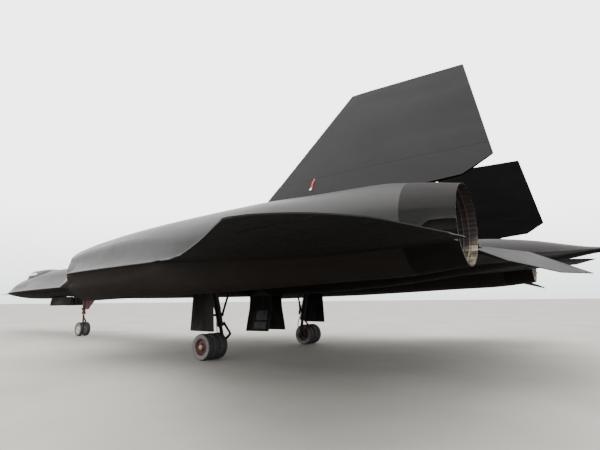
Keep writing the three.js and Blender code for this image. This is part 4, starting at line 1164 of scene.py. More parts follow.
def outer_wing():
    """One slab from the nacelle to the tip. Two rows a millimetre apart take the rear edge from the
    cove back to the trailing edge, and the wall between them is the side of the elevon's slot."""
    rows = np.concatenate([np.linspace(4.9, OUTER_OUT - 0.001, 60), np.linspace(OUTER_OUT, 8.3, 16),
                           np.linspace(8.32, WING_TIP, 8)])
    main = wing_panel(rows, lambda y: rib("lead", y),
                      lambda y: np.where(y < OUTER_OUT, cove_x("outer_elevon", y), rib("trail", y)),
                      lambda x, y: np.where(y < 5.3, 4.9 + (outer_flank(x, y) - 4.9) * (5.3 - y) / 0.4, 4.9))
    return solid_of([main, strip("outer_elevon", (4.7, OUTER_IN), outer_flank, stay(OUTER_IN))])


def mirrored(shape):
    """The other side's shape: y changes sign and every face is turned round."""
    other = copy_of(shape)
    other.data.transform(Matrix.Scale(-1, 4, (0, 1, 0)))
    other.data.flip_normals()
    return other


for name, make in (("inner_wing", inner_wing), ("outer_wing", outer_wing)):
    port = make()
    starboard = mirrored(port)
    dress(f"port_{name}", settled(port), WING_SKIN)
    dress(f"starboard_{name}", settled(starboard), WING_SKIN)
    print(name, len(port.data.polygons), "faces a side")

# %% [markdown]
# An elevon is the rear of the wing cut off behind its hinge, with a round nose that turns in
# the cove. With no pressure in their lines the real ones sag, each by its own amount. The blade
# is made level from the same section formula and then turned about its hinge.

# %% Elevons
def elevon(name, sign, droop):
    """Rows of constant y. Round each row: trailing edge, over the top to the hinge, half a circle
    round the hinge, and back underneath."""
    (x0, y0), (x1, y1) = ELEVONS[name]
    y = np.linspace(y0, y1, 46)[:, None]
    hinge = hinge_x(name, y)
    share = np.linspace(0, 1, 26)[None, :] ** 0.8
    x = rib("trail", y) + (hinge - rib("trail", y)) * share
    upper, lower = (grid(x, y, wing_surface(x, y, face)) for face in (1, -1))
    angle = np.linspace(np.pi / 2, -np.pi / 2, 14)[None, 1:-1]
    middle = (wing_surface(hinge, y, 1) + wing_surface(hinge, y, -1)) / 2
    radius = wing_half(hinge, y)
    slant = math.dist((x0, y0), (x1, y1)) / (y1 - y0)
    nose = grid(hinge + radius * slant * np.cos(angle), y, middle + radius * np.sin(angle))
    ring = np.concatenate([upper, nose, lower[:, ::-1]], 1) * (1, sign, 1)
    ends = [(px, sign * py, float(wing_surface(px, py, 1) + wing_surface(px, py, -1)) / 2)
            for px, py in (ELEVONS[name] if sign > 0 else ELEVONS[name][::-1])]
    return shell(turned_about(ring, *ends, -droop))


for blade, droop in DROOP.items():
    side, name = blade.split("_", 1)
    dress(blade, settled([elevon(name, SIDES[side], droop)]), WING_SKIN)
print("elevons hang down by", DROOP)

# %% [markdown]
# A nacelle is a tube with a skin outside and a duct inside, so it is one grid that goes along
# the outside, turns round the inlet lip and comes back along the duct: closed like a ring, with
# no cut needed. The outside has the body's ring formula, with the wing's thickness as its
# edge and a hollow flare above the chine. The inside is round. Each duct point lies on the ray
# from the duct's middle to the outside point of the same column, which keeps the grid untwisted.

# %% Nacelles
LIP_THICKNESS = 0.022
ENGINE_RADIUS = 0.62
ENGINE_SPAN = (-4.4, 0.85)
DUCT = [
    ["x", "radius"],
    [NOZZLE_EXIT, 0.655 - LIP_THICKNESS], [-6.0, 0.56], [ENGINE_SPAN[0], ENGINE_RADIUS + 0.004],
    [ENGINE_SPAN[1], ENGINE_RADIUS + 0.004], [1.45, 0.7], [2.3, 0.712], [INLET_LIP, 0.742 - LIP_THICKNESS],
]
FLARE = 0.7
NOZZLE_ROUND = -7.05
LIP_ROUND = 0.012


def duct_middle(x):
    """The duct climbs evenly from the inlet to the nozzle."""
    return 0.02 + (INLET_LIP - x) / (INLET_LIP - NOZZLE_EXIT) * 0.145


def nacelle_rings(x):
    """Body rings whose edges are the wing's surfaces, faded out towards the round nozzle."""
    out, inn, top, bottom = (read_off(NACELLE, name, x) for name in NACELLE[0][1:])
    deep = (top - bottom) / 2
    centre = (top + bottom) / 2
    winged = smooth_step((x - NOZZLE_ROUND) / (NOZZLE_FRONT - NOZZLE_ROUND))
    flanks = []
    for sign, half in ((1, out), (-1, inn)):
        edges = [wing_surface(x, NACELLE_Y + sign * half, face) for face in (1, -1)]
        flanks.append((half, *(centre + (edge - centre) * winged for edge in edges)))
    reach = deep * (ROUND_SHARE - 0.14 * np.clip((x + 1.5) / 2, 0, 1))
    return ring_of(x, NACELLE_Y, *flanks, top, bottom, deep, deep, reach, FLARE)


def duct_rings(x, toward):
    """Rings round the duct's middle line, each point on the ray towards the matching skin point."""
    middle = grid(x, NACELLE_Y, duct_middle(x))[:, None]
    arm = (toward - middle) * (0, 1, 1)
    arm /= np.linalg.norm(arm, axis=-1, keepdims=True)
    return middle + arm * read_off(DUCT, "radius", x)[:, None, None]


def nacelle_tube(x_out, x_in):
    """The loop of rings: skin from aft to front, a rounded lip, duct from front to aft."""
    skin = nacelle_rings(x_out)
    duct = duct_rings(x_in, nacelle_rings(x_in))
    lip = (skin[-1:] + duct[:1]) / 2 + (LIP_ROUND, 0, 0)
    return shell(np.concatenate([skin, lip, duct]), loop=True)


SPIKE_TIP = np.array([5.54, 3.935, -0.263])
SPIKE_ROOT = np.array([1.9, 4.14, 0.165])
SPIKE_LENGTH = math.dist(SPIKE_TIP, SPIKE_ROOT)
SPIKE_AXIS = (SPIKE_TIP - SPIKE_ROOT) / SPIKE_LENGTH
STRUT_X = (1.05, 1.18)
STRUT_REACH = 0.7
STRUT_HALF = 0.02
STRUT_EDGE = 0.015
GUIDE = {"radius": 0.09, "span": (-0.85, 0.5)}


def nacelle():
    """The tube, two crossed struts in the duct and the guide tube that they carry."""
    along = stations(NOZZLE_FRONT + JOINT_GAP, INLET_LIP)
    y, z = NACELLE_Y + 0.1, float(duct_middle(STRUT_X[0])) + 0.1
    level = (NACELLE_Y - STRUT_REACH, NACELLE_Y + STRUT_REACH)
    guide = [SPIKE_ROOT + SPIKE_AXIS * end for end in GUIDE["span"]]
    return [nacelle_tube(along, along[::-1]),
            block(STRUT_X, level, (z - STRUT_HALF, z + STRUT_HALF), STRUT_EDGE),
            block(STRUT_X, (y - STRUT_HALF, y + STRUT_HALF), (z - STRUT_REACH, z + STRUT_REACH), STRUT_EDGE),
            rod(*guide, GUIDE["radius"], 32)]


on_both_sides("nacelle", nacelle(), NACELLE_SKIN)
print("nacelle duct at the lip", round(float(read_off(DUCT, "radius", INLET_LIP)), 3), "m in radius")

# %% [markdown]
# The nozzle is the part of the picture where metal shows. Outside it is a short cone of
# overlapping flaps, inside a ring of long petals with rungs across them. Both are relief on the
# same tube: the radius steps down at every flap's edge, and swells at every rung.

# %% Nozzles
FLAPS = 24
RUNGS = 9
FLAP_STEP = 0.0015
PETAL_STEP = 0.012
RUNG_HEIGHT = 0.014


def saw(angle, count):
    """Rises from 0 to 1 over each of `count` equal parts of a turn and falls back at once."""
    turn = angle / (2 * np.pi) * count
    part = turn - np.floor(turn)
    return np.minimum(part, (1 - part) * 9)


def nozzle():
    """Skin and duct radii carry the flaps: a saw-tooth round the turn outside, petals with rungs
    inside. The rim is where both meet."""
    angle = round_in(288)[None, :]
    x_out = np.linspace(NOZZLE_EXIT, NOZZLE_FRONT, 26)
    base = nacelle_rings(x_out)
    above, beside = base[..., 2] - duct_middle(x_out)[:, None], base[..., 1] - NACELLE_Y
    around, away = np.arctan2(above, beside) % (2 * np.pi), np.hypot(above, beside)
    skin = np.stack([np.interp(angle[0], a[order], r[order], period=2 * np.pi)
                     for a, r, order in zip(around, away, np.argsort(around, 1))])
    aft = np.clip((NOZZLE_FRONT - 0.08 - x_out) / 0.1, 0, 1)[:, None]
    skin = skin - FLAP_STEP * saw(angle, FLAPS) * aft
    x_in = np.linspace(NOZZLE_FRONT, NOZZLE_EXIT, 120)
    share = ((x_in - NOZZLE_EXIT) / (NOZZLE_FRONT - NOZZLE_EXIT))[:, None]
    rungs = np.clip(1 - np.abs(((share * RUNGS) % 1) - 0.5) * 7, 0, 1) * (share > 0.08)
    duct = read_off(DUCT, "radius", x_in)[:, None]
    duct = duct - PETAL_STEP * saw(angle + 0.1, FLAPS * 2) - RUNG_HEIGHT * rungs
    rows = []
    for x, radius in ((x_out[::-1], skin[::-1]), (x_in[::-1], duct[::-1])):
        rows.append(grid(x[:, None], NACELLE_Y + radius * np.cos(angle),
                         duct_middle(x)[:, None] + radius * np.sin(angle)))
    return [shell(np.concatenate(rows), loop=True)]


def lined(pipe):
    """The second finish goes on every face that looks towards the pipe's middle line."""
    mesh = pipe.data
    count = len(mesh.polygons)
    centres, normals = np.zeros(count * 3), np.zeros(count * 3)
    mesh.polygons.foreach_get("center", centres)
    mesh.polygons.foreach_get("normal", normals)
    middle = (math.copysign(NOZZLE_CENTRE[0], centres[1]), NOZZLE_CENTRE[1])
    across = centres.reshape(-1, 3)[:, 1:] - middle
    facing = (across * normals.reshape(-1, 3)[:, 1:]).sum(1)
    mesh.polygons.foreach_set("material_index", (facing < -0.02).astype(np.int32))
    return pipe


for side in SIDES:
    pipe = lined(dress(f"{side}_nozzle", settled(sided(nozzle(), side)), [NOZZLE_SHELL, PETAL_STEEL]))
print("nozzle of", len(pipe.data.polygons), "faces")

# %% [markdown]
# Behind the petals one looks up the jet pipe to the rear of the engine: a blunt cone in the
# middle, flame-holder rings and thin spokes. From ahead the spike hides most of the duct.

# %% Engine faces
def engine():
    """The plain block becomes a drum with a stepped rear face."""
    drum = [(0, 0.02), (0.0, 0.16), (0.14, 0.2), (0.14, 0.58), (0.1, ENGINE_RADIUS - 0.002),
            (5.2, ENGINE_RADIUS - 0.002), (5.24, 0.56), (5.2, 0.2), (5.25, 0.02)]
    rear = np.array([ENGINE_SPAN[0], NACELLE_Y, duct_middle(ENGINE_SPAN[0])])
    parts = [turned(drum, rear, (1, 0, -0.0135), 96)]
    for radius in (0.24, 0.36, 0.48):
        loop = [(0, radius - 0.018), (0.05, radius - 0.006), (0.05, radius + 0.006), (0, radius + 0.018)]
        parts.append(turned(loop, rear + (0.015, 0, 0), (1, 0, 0), 96, loop=True))
    for turn in round_in(16):
        way = np.array([0, math.cos(turn), math.sin(turn)])
        start = rear + (0.04, 0, 0)
        parts.append(rod(start + way * 0.17, start + way * 0.55, 0.009, 8))
    return parts


on_both_sides("engine", engine(), ENGINE_METAL)
print("engine", len(engine()), "parts")

# %% [markdown]
# The inlet spike is a turned shape: a sharp cone, a rounded shoulder and a taper back to its
# root, with a bore for the guide tube it slides on. Two shallow grooves mark the row of bleed
# slots near the shoulder.

# %% Inlet spikes
def spike():
    """Radius against length: straight for the cone, a smooth cubic over the shoulder."""
    shoulder = np.linspace(0, 1.4, 30)
    radius = smooth([0, 0.5, 1.0, 1.4], [0.36, 0.52, 0.56, 0.53], shoulder)
    groove = 0.006 * (np.abs(shoulder - 0.9) < 0.03) + 0.006 * (np.abs(shoulder - 1.1) < 0.03)
    cone = np.linspace(1.45, SPIKE_LENGTH - 0.06, 30)
    taper = 0.53 + (0.014 - 0.53) * (cone - 1.4) / (SPIKE_LENGTH - 1.46)
    bore = GUIDE["radius"] + 0.01
    outline = [(1.4, 0.001), (1.4, bore), (0.06, bore), *zip(shoulder, radius - groove), *zip(cone, taper),
               (SPIKE_LENGTH - 0.012, 0.006), (SPIKE_LENGTH, 0.001)]
    return [turned(outline, SPIKE_ROOT, SPIKE_AXIS, 72)]


on_both_sides("inlet_spike", spike(), RADOME_SKIN)
print("spike", round(SPIKE_LENGTH, 2), "m long")

# %% [markdown]
# Each fin leans inward by fifteen degrees. Its lower part is fixed to the nacelle, and all of
# its upper part turns as a rudder on a post. The section is a double wedge, thickest a little
# behind the middle. The blade is a grid over its side outline, `across` gives its half
# thickness at each x, and the whole is then leaned over.

# %% Fins
FIN_CANT = 15
FIN_ROOT = (3.85, 1.02)
FIN_SPLIT = 1.516
FIN_SLOT = 0.003
FIN_HALF = 0.075
FIN_EDGE = 0.012
FIN_FRONT, FIN_MIDDLE, FIN_REAR = -2.9, -5.4, -7.8
RUDDER = {"lead": ((-3.487, FIN_SPLIT + FIN_SLOT), (-5.126, 3.362)),
          "trail": ((-7.732, FIN_SPLIT + FIN_SLOT), (-7.371, 3.291))}
POST_X = -5.62
POST_FOOT = 1.4
POST_RADIUS = 0.055
POST_GAP = 0.005


def across(x):
    """Half thickness: two wedges that meet in the middle, with the ridge eased by a short curve."""
    front = (FIN_FRONT - x) / (FIN_FRONT - FIN_MIDDLE)
    rear = (x - FIN_REAR) / (FIN_MIDDLE - FIN_REAR)
    ridge = np.minimum(front, rear)
    eased = ridge - 0.04 * np.exp(-((ridge - 1) / 0.08) ** 2)
    return FIN_EDGE + (FIN_HALF - FIN_EDGE) * np.clip(eased, 0, 1)


def bladed(x, z):
    """A closed blade over a grid in side view: rows upwards, columns from the trailing edge forward
    on the port face and back on the other. The last step at each edge narrows to a rounded edge."""
    half = across(x)
    half[:, 0] *= 0.35
    half[:, -1] *= 0.35
    return slab(grid(x, half, z), grid(x, -half, z))


def swung(shells, hinge, degrees):
    """Shells turned about a line along the aircraft, `hinge` giving its y and z."""
    y, z = hinge
    return [(turned_about(points, (0, y, z), (1, y, z), degrees), faces) for points, faces in shells]


def canted(shells):
    """Moves a blade out to its root and leans it inward about a line along that."""
    return swung(moved(shells, 0, FIN_ROOT[0], 0), FIN_ROOT, FIN_CANT)


def edge_steps(count):
    """Shares of the chord, with two close together at each edge for the rounding."""
    return np.concatenate([[0, 0.003], np.linspace(0.02, 0.98, count), [0.997, 1]])[None, :]


def rudder():
    """A blade between two straight edges whose top slopes along the chord."""
    up = np.concatenate([[0, 0.004], np.linspace(0.03, 0.97, 24), [0.996, 1]])[:, None]
    (lead0, low), (lead1, high) = RUDDER["lead"]
    (trail0, _), (trail1, high_rear) = RUDDER["trail"]
    lead, trail = lead0 + (lead1 - lead0) * up, trail0 + (trail1 - trail0) * up
    share = edge_steps(44)
    x = trail + (lead - trail) * share
    top = high_rear + (high - high_rear) * share
    return [bladed(x, low + (top - low) * up)]


STUB_TOP = [(-7.779, 1.287), (-7.733, FIN_SPLIT), (-3.484, FIN_SPLIT), (-2.98, 0.95)]
STUB_FOOT = [(-7.779, 1.282), (-7.303, 1.002), (-6.6, 0.95), (-6.0, 0.8), (-2.98, 0.8)]


def stub():
    """Columns at fixed x between the foot line and the top line; the foot runs on inside the nacelle."""
    corners = [x for x, _ in STUB_TOP + STUB_FOOT]
    x = np.unique(np.concatenate([np.linspace(min(corners), max(corners), 60), corners]))
    top, foot = (np.interp(x, *np.array(line).T)[None, :] for line in (STUB_TOP, STUB_FOOT))
    up = np.concatenate([[0, 0.01], np.linspace(0.05, 0.95, 12), [0.99, 1]])[:, None]
    return [bladed(x[None, :], foot + (top - foot) * up)]


def post(top, radius):
    """The round post that a rudder turns on."""
    return [rod((POST_X, 0, POST_FOOT), (POST_X, 0, top), radius, 24)]


on_both_sides("fin_stub", canted(stub() + post(2.25, POST_RADIUS)), FIN_SKIN)
for side in SIDES:
    blade = solid_of(sided(canted(rudder()), side))
    hole = solid_of(sided(canted(post(2.3, POST_RADIUS + POST_GAP)), side))
    dress(f"{side}_rudder", settled(carve(blade, hole)), FIN_SKIN)
print("fins lean in by", FIN_CANT, "degrees")

# %% [markdown]
# A short red ribbon with a pale end hangs by the foot of the port fin, where a pin holds the
# parked rudder. It is cloth, so it is a thin strip that ripples as it hangs: a grid along its
# length, pushed out from the fin by a sine wave that grows towards the free end.

# %% Rudder-pin ribbon
RIBBON = {"x": -4.42, "top": 1.5, "red": 0.19, "length": 0.24, "width": 0.045, "thickness": 0.0016}
RIBBON_SLANT = 0.28


def ribbon(start, end):
    """A strip between two distances along the ribbon: out = clearance + ripple * sine."""
    down = np.linspace(start, end, 24)[:, None]
    wide = np.linspace(-0.5, 0.5, 5)[None, :] * RIBBON["width"]
    x = RIBBON["x"] + wide + down * RIBBON_SLANT
    out = across(x) + 0.006 + 0.005 * (1 - np.cos(down * 38))
    face = grid(x, out, RIBBON["top"] - down)
    return [slab(face, face - (0, RIBBON["thickness"], 0))]


pin_face = float(across(np.array([RIBBON["x"]]))[0])
pin = [rod(*((RIBBON["x"], pin_face + out, RIBBON["top"]) for out in (-0.02, 0.016)), 0.011, 16)]
fitting("rudder_pin", "port_fin_stub", settled(canted(pin)), BARE_STEEL)
band = fitting("rudder_pin_ribbon", "port_fin_stub",
               settled(canted(ribbon(0, RIBBON["red"]))), STRAP_CLOTH)
tip = fitting("rudder_pin_ribbon_tip", "port_fin_stub",
              settled(canted(ribbon(RIBBON["red"], RIBBON["length"]))), STRAP_TIP_CLOTH)
print("ribbon", RIBBON["length"], "m long")

# %% [markdown]
# The gear doors are pieces of the body's own skin, so they are worked out from the same rings:
# a grid of belly heights over the door's plan, once for the outside and once for the inside,
# then swung open about the hinge line. Inside, a door is stiffened by ribs that run across it
# and beams along it. The inside of a wheel door also has two paler access plates.

# %% Body doors
DOOR_SKIN = 0.03
DOOR_GAP = 0.01
DOOR_SHEET = 0.012
RIB_WIDTH = 0.03
LAP = 0.001
NOSE_HINGE = (NOSE_BAY["half"] - DOOR_GAP, -0.395)
MAIN_HINGE = (WHEEL_BAY["y"][0] + DOOR_GAP, -0.7)
HANG = {"nose": 84, "main": -104}


def belly(x, y):
    """Height of the body's underside: the lower port part of each ring, read off at y."""
    rings = body_rings(np.atleast_1d(x))
    count = rings.shape[1]
    lower = rings[:, 3 * count // 4:]
    order = np.argsort(lower[0, :, 1])
    return np.stack([np.interp(y, ring[order, 1], ring[order, 2]) for ring in lower])


def belly_piece(x, y, low, high):
    """A patch of the belly between two depths inside the skin: outer rows, then inner rows back."""
    x = stations(*x, 0.06)
    y = stations(*y, 0.04)
    rise = belly(x, y)
    return slab(*(grid(x[:, None], y, rise + deep) for deep in (low, high)))


def body_door(x, y, ribs, beams):
    """The sheet, and on its inside ribs and beams, the outermost as a rim, within its thickness."""
    parts = [belly_piece(x, y, 0, DOOR_SHEET)]
    for start in np.linspace(x[0], x[1] - RIB_WIDTH, ribs):
        parts.append(belly_piece((start, start + RIB_WIDTH), y, DOOR_SHEET - LAP, DOOR_SKIN))
    for start in np.linspace(y[0], y[1] - RIB_WIDTH, beams):
        parts.append(belly_piece(x, (start, start + RIB_WIDTH), DOOR_SHEET - LAP, DOOR_SKIN - LAP))
    return parts


def clear_of(low, high):
    """A door's span in its opening, with the gap at both ends."""
    return low + DOOR_GAP, high - DOOR_GAP


nose_door = body_door(clear_of(*NOSE_BAY["x"]), clear_of(0, NOSE_BAY["half"]), 7, 2)
wheel_door = body_door(clear_of(*WHEEL_BAY["x"]), clear_of(*WHEEL_BAY["y"]), 4, 4)
PLATES = {"access_plate": ((-0.3, 0.16), (0.66, 0.93)), "lower_access_plate": ((-0.3, 0.2), (0.98, 1.18))}
on_both_sides("nose_gear_door", swung(nose_door, NOSE_HINGE, HANG["nose"]), DOOR_LINING)
on_both_sides("main_wheel_door", swung(wheel_door, MAIN_HINGE, HANG["main"]), DOOR_LINING)
for name, (x, y) in PLATES.items():
    cover = swung([belly_piece(x, y, DOOR_SKIN - 0.004, DOOR_SKIN + 0.002)], MAIN_HINGE, HANG["main"])
    fitted_both_sides(name, "main_wheel_door", cover, LIGHT_PANEL)
print("belly at the nose door's hinge", round(float(belly(12.8, NOSE_HINGE[0])[0]), 3), "m")

# %% [markdown]
# Bolted to each main leg is a flat door that closes the slot in the wing. It stands in plain
# view beside the wheels. It is a plate with a raised frame and cross ribs on its inner face,
# and two arms carry it.

# %% Leg doors
LEG_DOOR = [(0.43, 0.77), (0.33, 2.18), (-0.4, 2.18), (-0.5, 0.77)]
LEG_DOOR_Y = (2.725, 2.76)
LEG_DOOR_SHEET = 2.744
LEG_RIBS = (0.79, 1.13, 1.46, 1.73, 2.135)
LEG_BEAMS = (0.03, 0.35, 0.62, 0.93)      # shares of the width
BEAM_SPAN = (0.8, 2.15)
LEG_ARMS = {1.15: 2.235, 1.75: 2.392}     # height: where the arm starts
ARM_X = 0.06


def leg_door_edge(z):
    """Front and rear edge at a height, straight between the corners."""
    share = (z - LEG_DOOR[0][1]) / (LEG_DOOR[1][1] - LEG_DOOR[0][1])
    front = LEG_DOOR[0][0] + (LEG_DOOR[1][0] - LEG_DOOR[0][0]) * share
    rear = LEG_DOOR[3][0] + (LEG_DOOR[2][0] - LEG_DOOR[3][0]) * share
    return front, rear


def from_main_axle(shells):
    """Moves shells made round x = 0 to the main axle."""
    return moved(shells, AXLE_X, 0, 0)


def leg_door():
    """The sheet, ribs across, beams along, and two arms with their bolts."""
    parts = [plate(LEG_DOOR, LEG_DOOR_SHEET, LEG_DOOR_Y[1], 1, 0.003, 0.04)]
    inside = (LEG_DOOR_Y[0], LEG_DOOR_SHEET + LAP)
    outlines = []
    for z in LEG_RIBS:
        ends = [(*leg_door_edge(level), level) for level in (z, z + RIB_WIDTH)]
        outlines.append([(front - 0.02, level) for front, _, level in ends]
                        + [(rear + 0.02, level) for _, rear, level in ends[::-1]])
    for share in LEG_BEAMS:
        ends = [(*leg_door_edge(level), level) for level in BEAM_SPAN]
        ends = [(front + (rear - front) * share, level) for front, rear, level in ends]
        outlines.append(ends + [(x - 0.028, level) for x, level in ends[::-1]])
    parts += [plate(outline, *inside, 1, 0.003) for outline in outlines]
    end = LEG_DOOR_Y[0] + 0.015
    for z, start in LEG_ARMS.items():
        arm = [(start, z), (end, z + 0.008), (end, z + 0.052), (start, z + 0.06)]
        parts.append(plate(arm, -ARM_X, ARM_X, 0, 0.006))
        for x in (-0.035, 0.035):
            parts.append(rod((x, 2.6, z - 0.006), (x, 2.6, z + 0.066), 0.014, 12))
    return parts


on_both_sides("main_leg_door", leg_door(), DOOR_LINING, from_main_axle)
print("leg door", len(leg_door()), "parts")

# %% [markdown]
# A tyre is a section carried round the axle. The section follows smooth curves from the bead
# over a bulging sidewall to a nearly flat tread, and four grooves are pressed into the tread by
# lowering the radius there.

# %% Tyres
MAIN_TYRE = {"radius": 0.35, "width": 0.19, "rim": 0.225}
NOSE_TYRE = {"radius": 0.318, "width": 0.17, "rim": 0.19}
MAIN_ROWS = {"inner": 2.16, "middle": 2.41, "outer": 2.66}
NOSE_OFFSET = 0.15
GROOVES = (-0.45, -0.16, 0.16, 0.45)
GROOVE = {"depth": 0.007, "width": 0.0035}
ACROSS = (0, 1, 0)


def tyre(size, y, sides=72):
    """Half width and radius against the way round the section, both smooth cubics."""
    half, crown, rim = size["width"] / 2, size["radius"], size["rim"]
    way = np.linspace(0, 6, 61)
    out = smooth(np.arange(7), np.array([0.84, 0.96, 1.0, 0.97, 0.84, 0.45, 0]) * half, way)
    tall = smooth(np.arange(7), rim + (crown - rim) * np.array([0, 0.2, 0.45, 0.72, 0.93, 0.995, 1]), way)
    out = np.concatenate([-out, out[-2::-1]])
    tall = np.concatenate([tall, tall[-2::-1]])
    for place in GROOVES:
        tall = tall - GROOVE["depth"] * np.exp(-((out - place * 2 * half * 0.8) / GROOVE["width"]) ** 2)
    return [turned(list(zip(out, tall)), (0, y, crown), ACROSS, sides, loop=True)]


# %% [markdown]
# Three main wheels a side turn as one on the leg's axle, so they are one turned outline of
# dished discs, from the first to the last, with a bore for the axle. The bolts and the ring of
# round holes that show from outside are added to the outer faces.

# %% Wheels
BEARING = 0.052
AXLE_END = 2.746
DISH = {"main": 0.035, "nose": 0.03}


def discs(rows, size, core, dish):
    """The outline along the axle: for each wheel a rim, a hollow face and a core between wheels."""
    half, edge = size["width"] * 0.42, size["rim"] - 0.001
    face = [(half, core), (half - 0.012, core + 0.004), (dish + 0.006, core + 0.03), (dish, edge - 0.055),
            (half - 0.014, edge - 0.028), (half, edge - 0.016), (half, edge)]
    outline = []
    for y in rows:
        outline += [(y - out, tall) for out, tall in face] + [(y + out, tall) for out, tall in face[::-1]]
    return outline


def bolts(count, around, y, z, radius, length):
    """Short rods on a circle round the axle."""
    spots = [(around * math.cos(turn), z + around * math.sin(turn)) for turn in round_in(count)]
    return [rod((x, y, up), (x, y + length, up), radius, 8, 0.002) for x, up in spots]


def main_wheels():
    """The outline of three discs and their bore turned round the axle, and bolts on its faces."""
    outline = discs(MAIN_ROWS.values(), MAIN_TYRE, BEARING + 0.03, DISH["main"])
    bore = [(outline[-1][0], BEARING), (outline[0][0], BEARING)]
    z = MAIN_TYRE["radius"]
    outer = MAIN_ROWS["outer"] + DISH["main"] - 0.004
    inner = MAIN_ROWS["inner"] - DISH["main"] - 0.008
    return ([turned(outline + bore, (0, 0, z), ACROSS, 72, loop=True)]
            + bolts(10, 0.14, outer, z, 0.009, 0.016) + bolts(10, 0.14, inner, z, 0.009, 0.012)
            + bolts(20, 0.203, outer + 0.036, z, 0.005, 0.01))


def axle_cap():
    """A shallow dome over the axle's end, held by six bolts."""
    cap = [(0, 0.001), (0, 0.05), (0.008, 0.056), (0.02, 0.052), (0.03, 0.034), (0.034, 0.001)]
    z = MAIN_TYRE["radius"]
    return [turned(cap, (0, AXLE_END, z), ACROSS, 40)] + bolts(6, 0.044, AXLE_END + 0.014, z, 0.005, 0.008)


def nose_wheels():
    """Two discs and their shaft as one turned outline, and bolts on both faces."""
    outline = discs((-NOSE_OFFSET, NOSE_OFFSET), NOSE_TYRE, 0.038, DISH["nose"])
    end = 0.24
    shaft = [(-end, 0.001), (-end, 0.03), (-end + 0.006, 0.038)] + outline
    shaft += [(end - 0.006, 0.038), (end, 0.03), (end, 0.001)]
    z = NOSE_TYRE["radius"]
    outer = NOSE_OFFSET + DISH["nose"] - 0.004
    return ([turned(shaft, (0, 0, z), ACROSS, 72)] + bolts(8, 0.105, outer, z, 0.008, 0.014)
            + bolts(8, 0.105, -outer - 0.014, z, 0.008, 0.014))


def from_nose_axle(shells):
    """Moves shells made round x = 0 to the nose axle."""
    return moved(shells, NOSE_AXLE[0], 0, 0)


for row, y in MAIN_ROWS.items():
    on_both_sides(f"main_tyre_{row}", tyre(MAIN_TYRE, y), MAIN_RUBBER, from_main_axle)
on_both_sides("main_wheel_hubs", main_wheels(), MAIN_WHEEL, from_main_axle)
fitted_both_sides("main_axle_cap", "main_leg", axle_cap(), CREAM_HUB, from_main_axle)
on_both_sides("nose_tyre", tyre(NOSE_TYRE, NOSE_OFFSET), NOSE_RUBBER, from_nose_axle)
dress("nose_wheel_hubs", from_nose_axle(nose_wheels()), NOSE_WHEEL)
print("a main tyre has", len(tyre(MAIN_TYRE, 0)[0][0]), "points")

# %% [markdown]
# The main leg leans outboard from the axle up into the wing: a sliding tube below, a fat
# cylinder above, both dark and greasy, and scissor links behind that keep the axle square.
# Castings are turned profiles with collars. Two brake pipes run down the leg as smooth tubes.

# %% Main legs
LEG_FOOT = np.array([0, 1.9, 0.35])
LEG_TOP = np.array([0, 2.42, 2.33])
LEG_LENGTH = math.dist(LEG_FOOT, LEG_TOP)
LEG_WAY = (LEG_TOP - LEG_FOOT) / LEG_LENGTH


def on_leg(z):
    """The point of the leg's line at a height."""
    return LEG_FOOT + (LEG_TOP - LEG_FOOT) * (z - LEG_FOOT[2]) / (LEG_TOP[2] - LEG_FOOT[2])


def collared(low, high, radius, collars):
    """A profile along a leg: its radius, and more at each collar of (place, width, swell)."""
    length = high - low
    profile = [(0, radius * 0.9), (0.008, radius)]
    for place, width, swell in collars:
        profile += [(place, radius), (place + 0.004, radius + swell), (place + width - 0.004, radius + swell),
                    (place + width, radius)]
    return profile + [(length - 0.008, radius), (length, radius * 0.9)]


def scissor(outline, y, pins):
    """A link plate with rounded ends, a sunk web on both faces and a pin through each end."""
    low, high = y
    web = drawn_in(outline, 0.016)
    parts = [plate(outline, low, low + (high - low) * 0.3, 1, 0.004, 0.016),
             plate(outline, high - (high - low) * 0.3, high, 1, 0.004, 0.016),
             plate(web, low + 0.004, high - 0.004, 1, 0.002, 0.01)]
    return parts + [rod((x, low - 0.012, z), (x, high + 0.012, z), 0.016, 16) for x, z in pins]


def main_leg():
    """The turned axle and its sleeve, the collared cylinder, and two links."""
    z = MAIN_TYRE["radius"]
    lower = on_leg(0.86)
    upper_length = math.dist(lower, LEG_TOP)
    collars = [(0.01, 0.08, 0.01), (0.5, 0.05, 0.01), (0.9, 0.06, 0.01), (1.3, 0.05, 0.01)]
    upper = collared(0, upper_length, 0.088, collars)
    knee, low_pin, high_pin = (-0.31, 0.67), (-0.075, 0.44), (-0.075, 0.96)
    return [turned([(0, 0.03), (0.004, 0.045), (0.915, 0.045), (0.925, 0.036), (0.933, 0.03), (0.935, 0.001)],
                   (0, 1.84, z), ACROSS, 32),
            turned([(0, 0.06), (0.01, 0.082), (0.02, 0.09), (0.14, 0.09), (0.15, 0.082), (0.16, 0.06)],
                   (0, 1.83, z), ACROSS, 40),
            turned(upper, lower, LEG_WAY, 40),
            *scissor([(-0.06, 0.4), (-0.06, 0.48), (-0.33, 0.7), (-0.33, 0.64)],
                     (1.935, 1.995), [knee, low_pin]),
            *scissor([(-0.06, 1.0), (-0.06, 0.92), (-0.33, 0.64), (-0.33, 0.7)],
                     (1.94, 1.99), [high_pin])]


def sliding_tube():
    """A turned tube from the axle up into the cylinder."""
    return [turned(collared(0, 0.64, 0.052, []), LEG_FOOT, LEG_WAY, 40)]


PIPE_ROUTE = [(0.1, 2.1), (0.104, 1.6), (0.106, 1.1), (0.15, 0.9),
              (0.17, 0.74), (0.12, 0.6), (0.085, 0.5), (0.06, 0.42)]     # ahead of the leg, and up


def brake_pipe(shift, radius):
    """A pipe down the front of the leg, with a loop that lets the tube slide."""
    return [tube([on_leg(z) + (x, shift, 0) for x, z in PIPE_ROUTE], radius)]


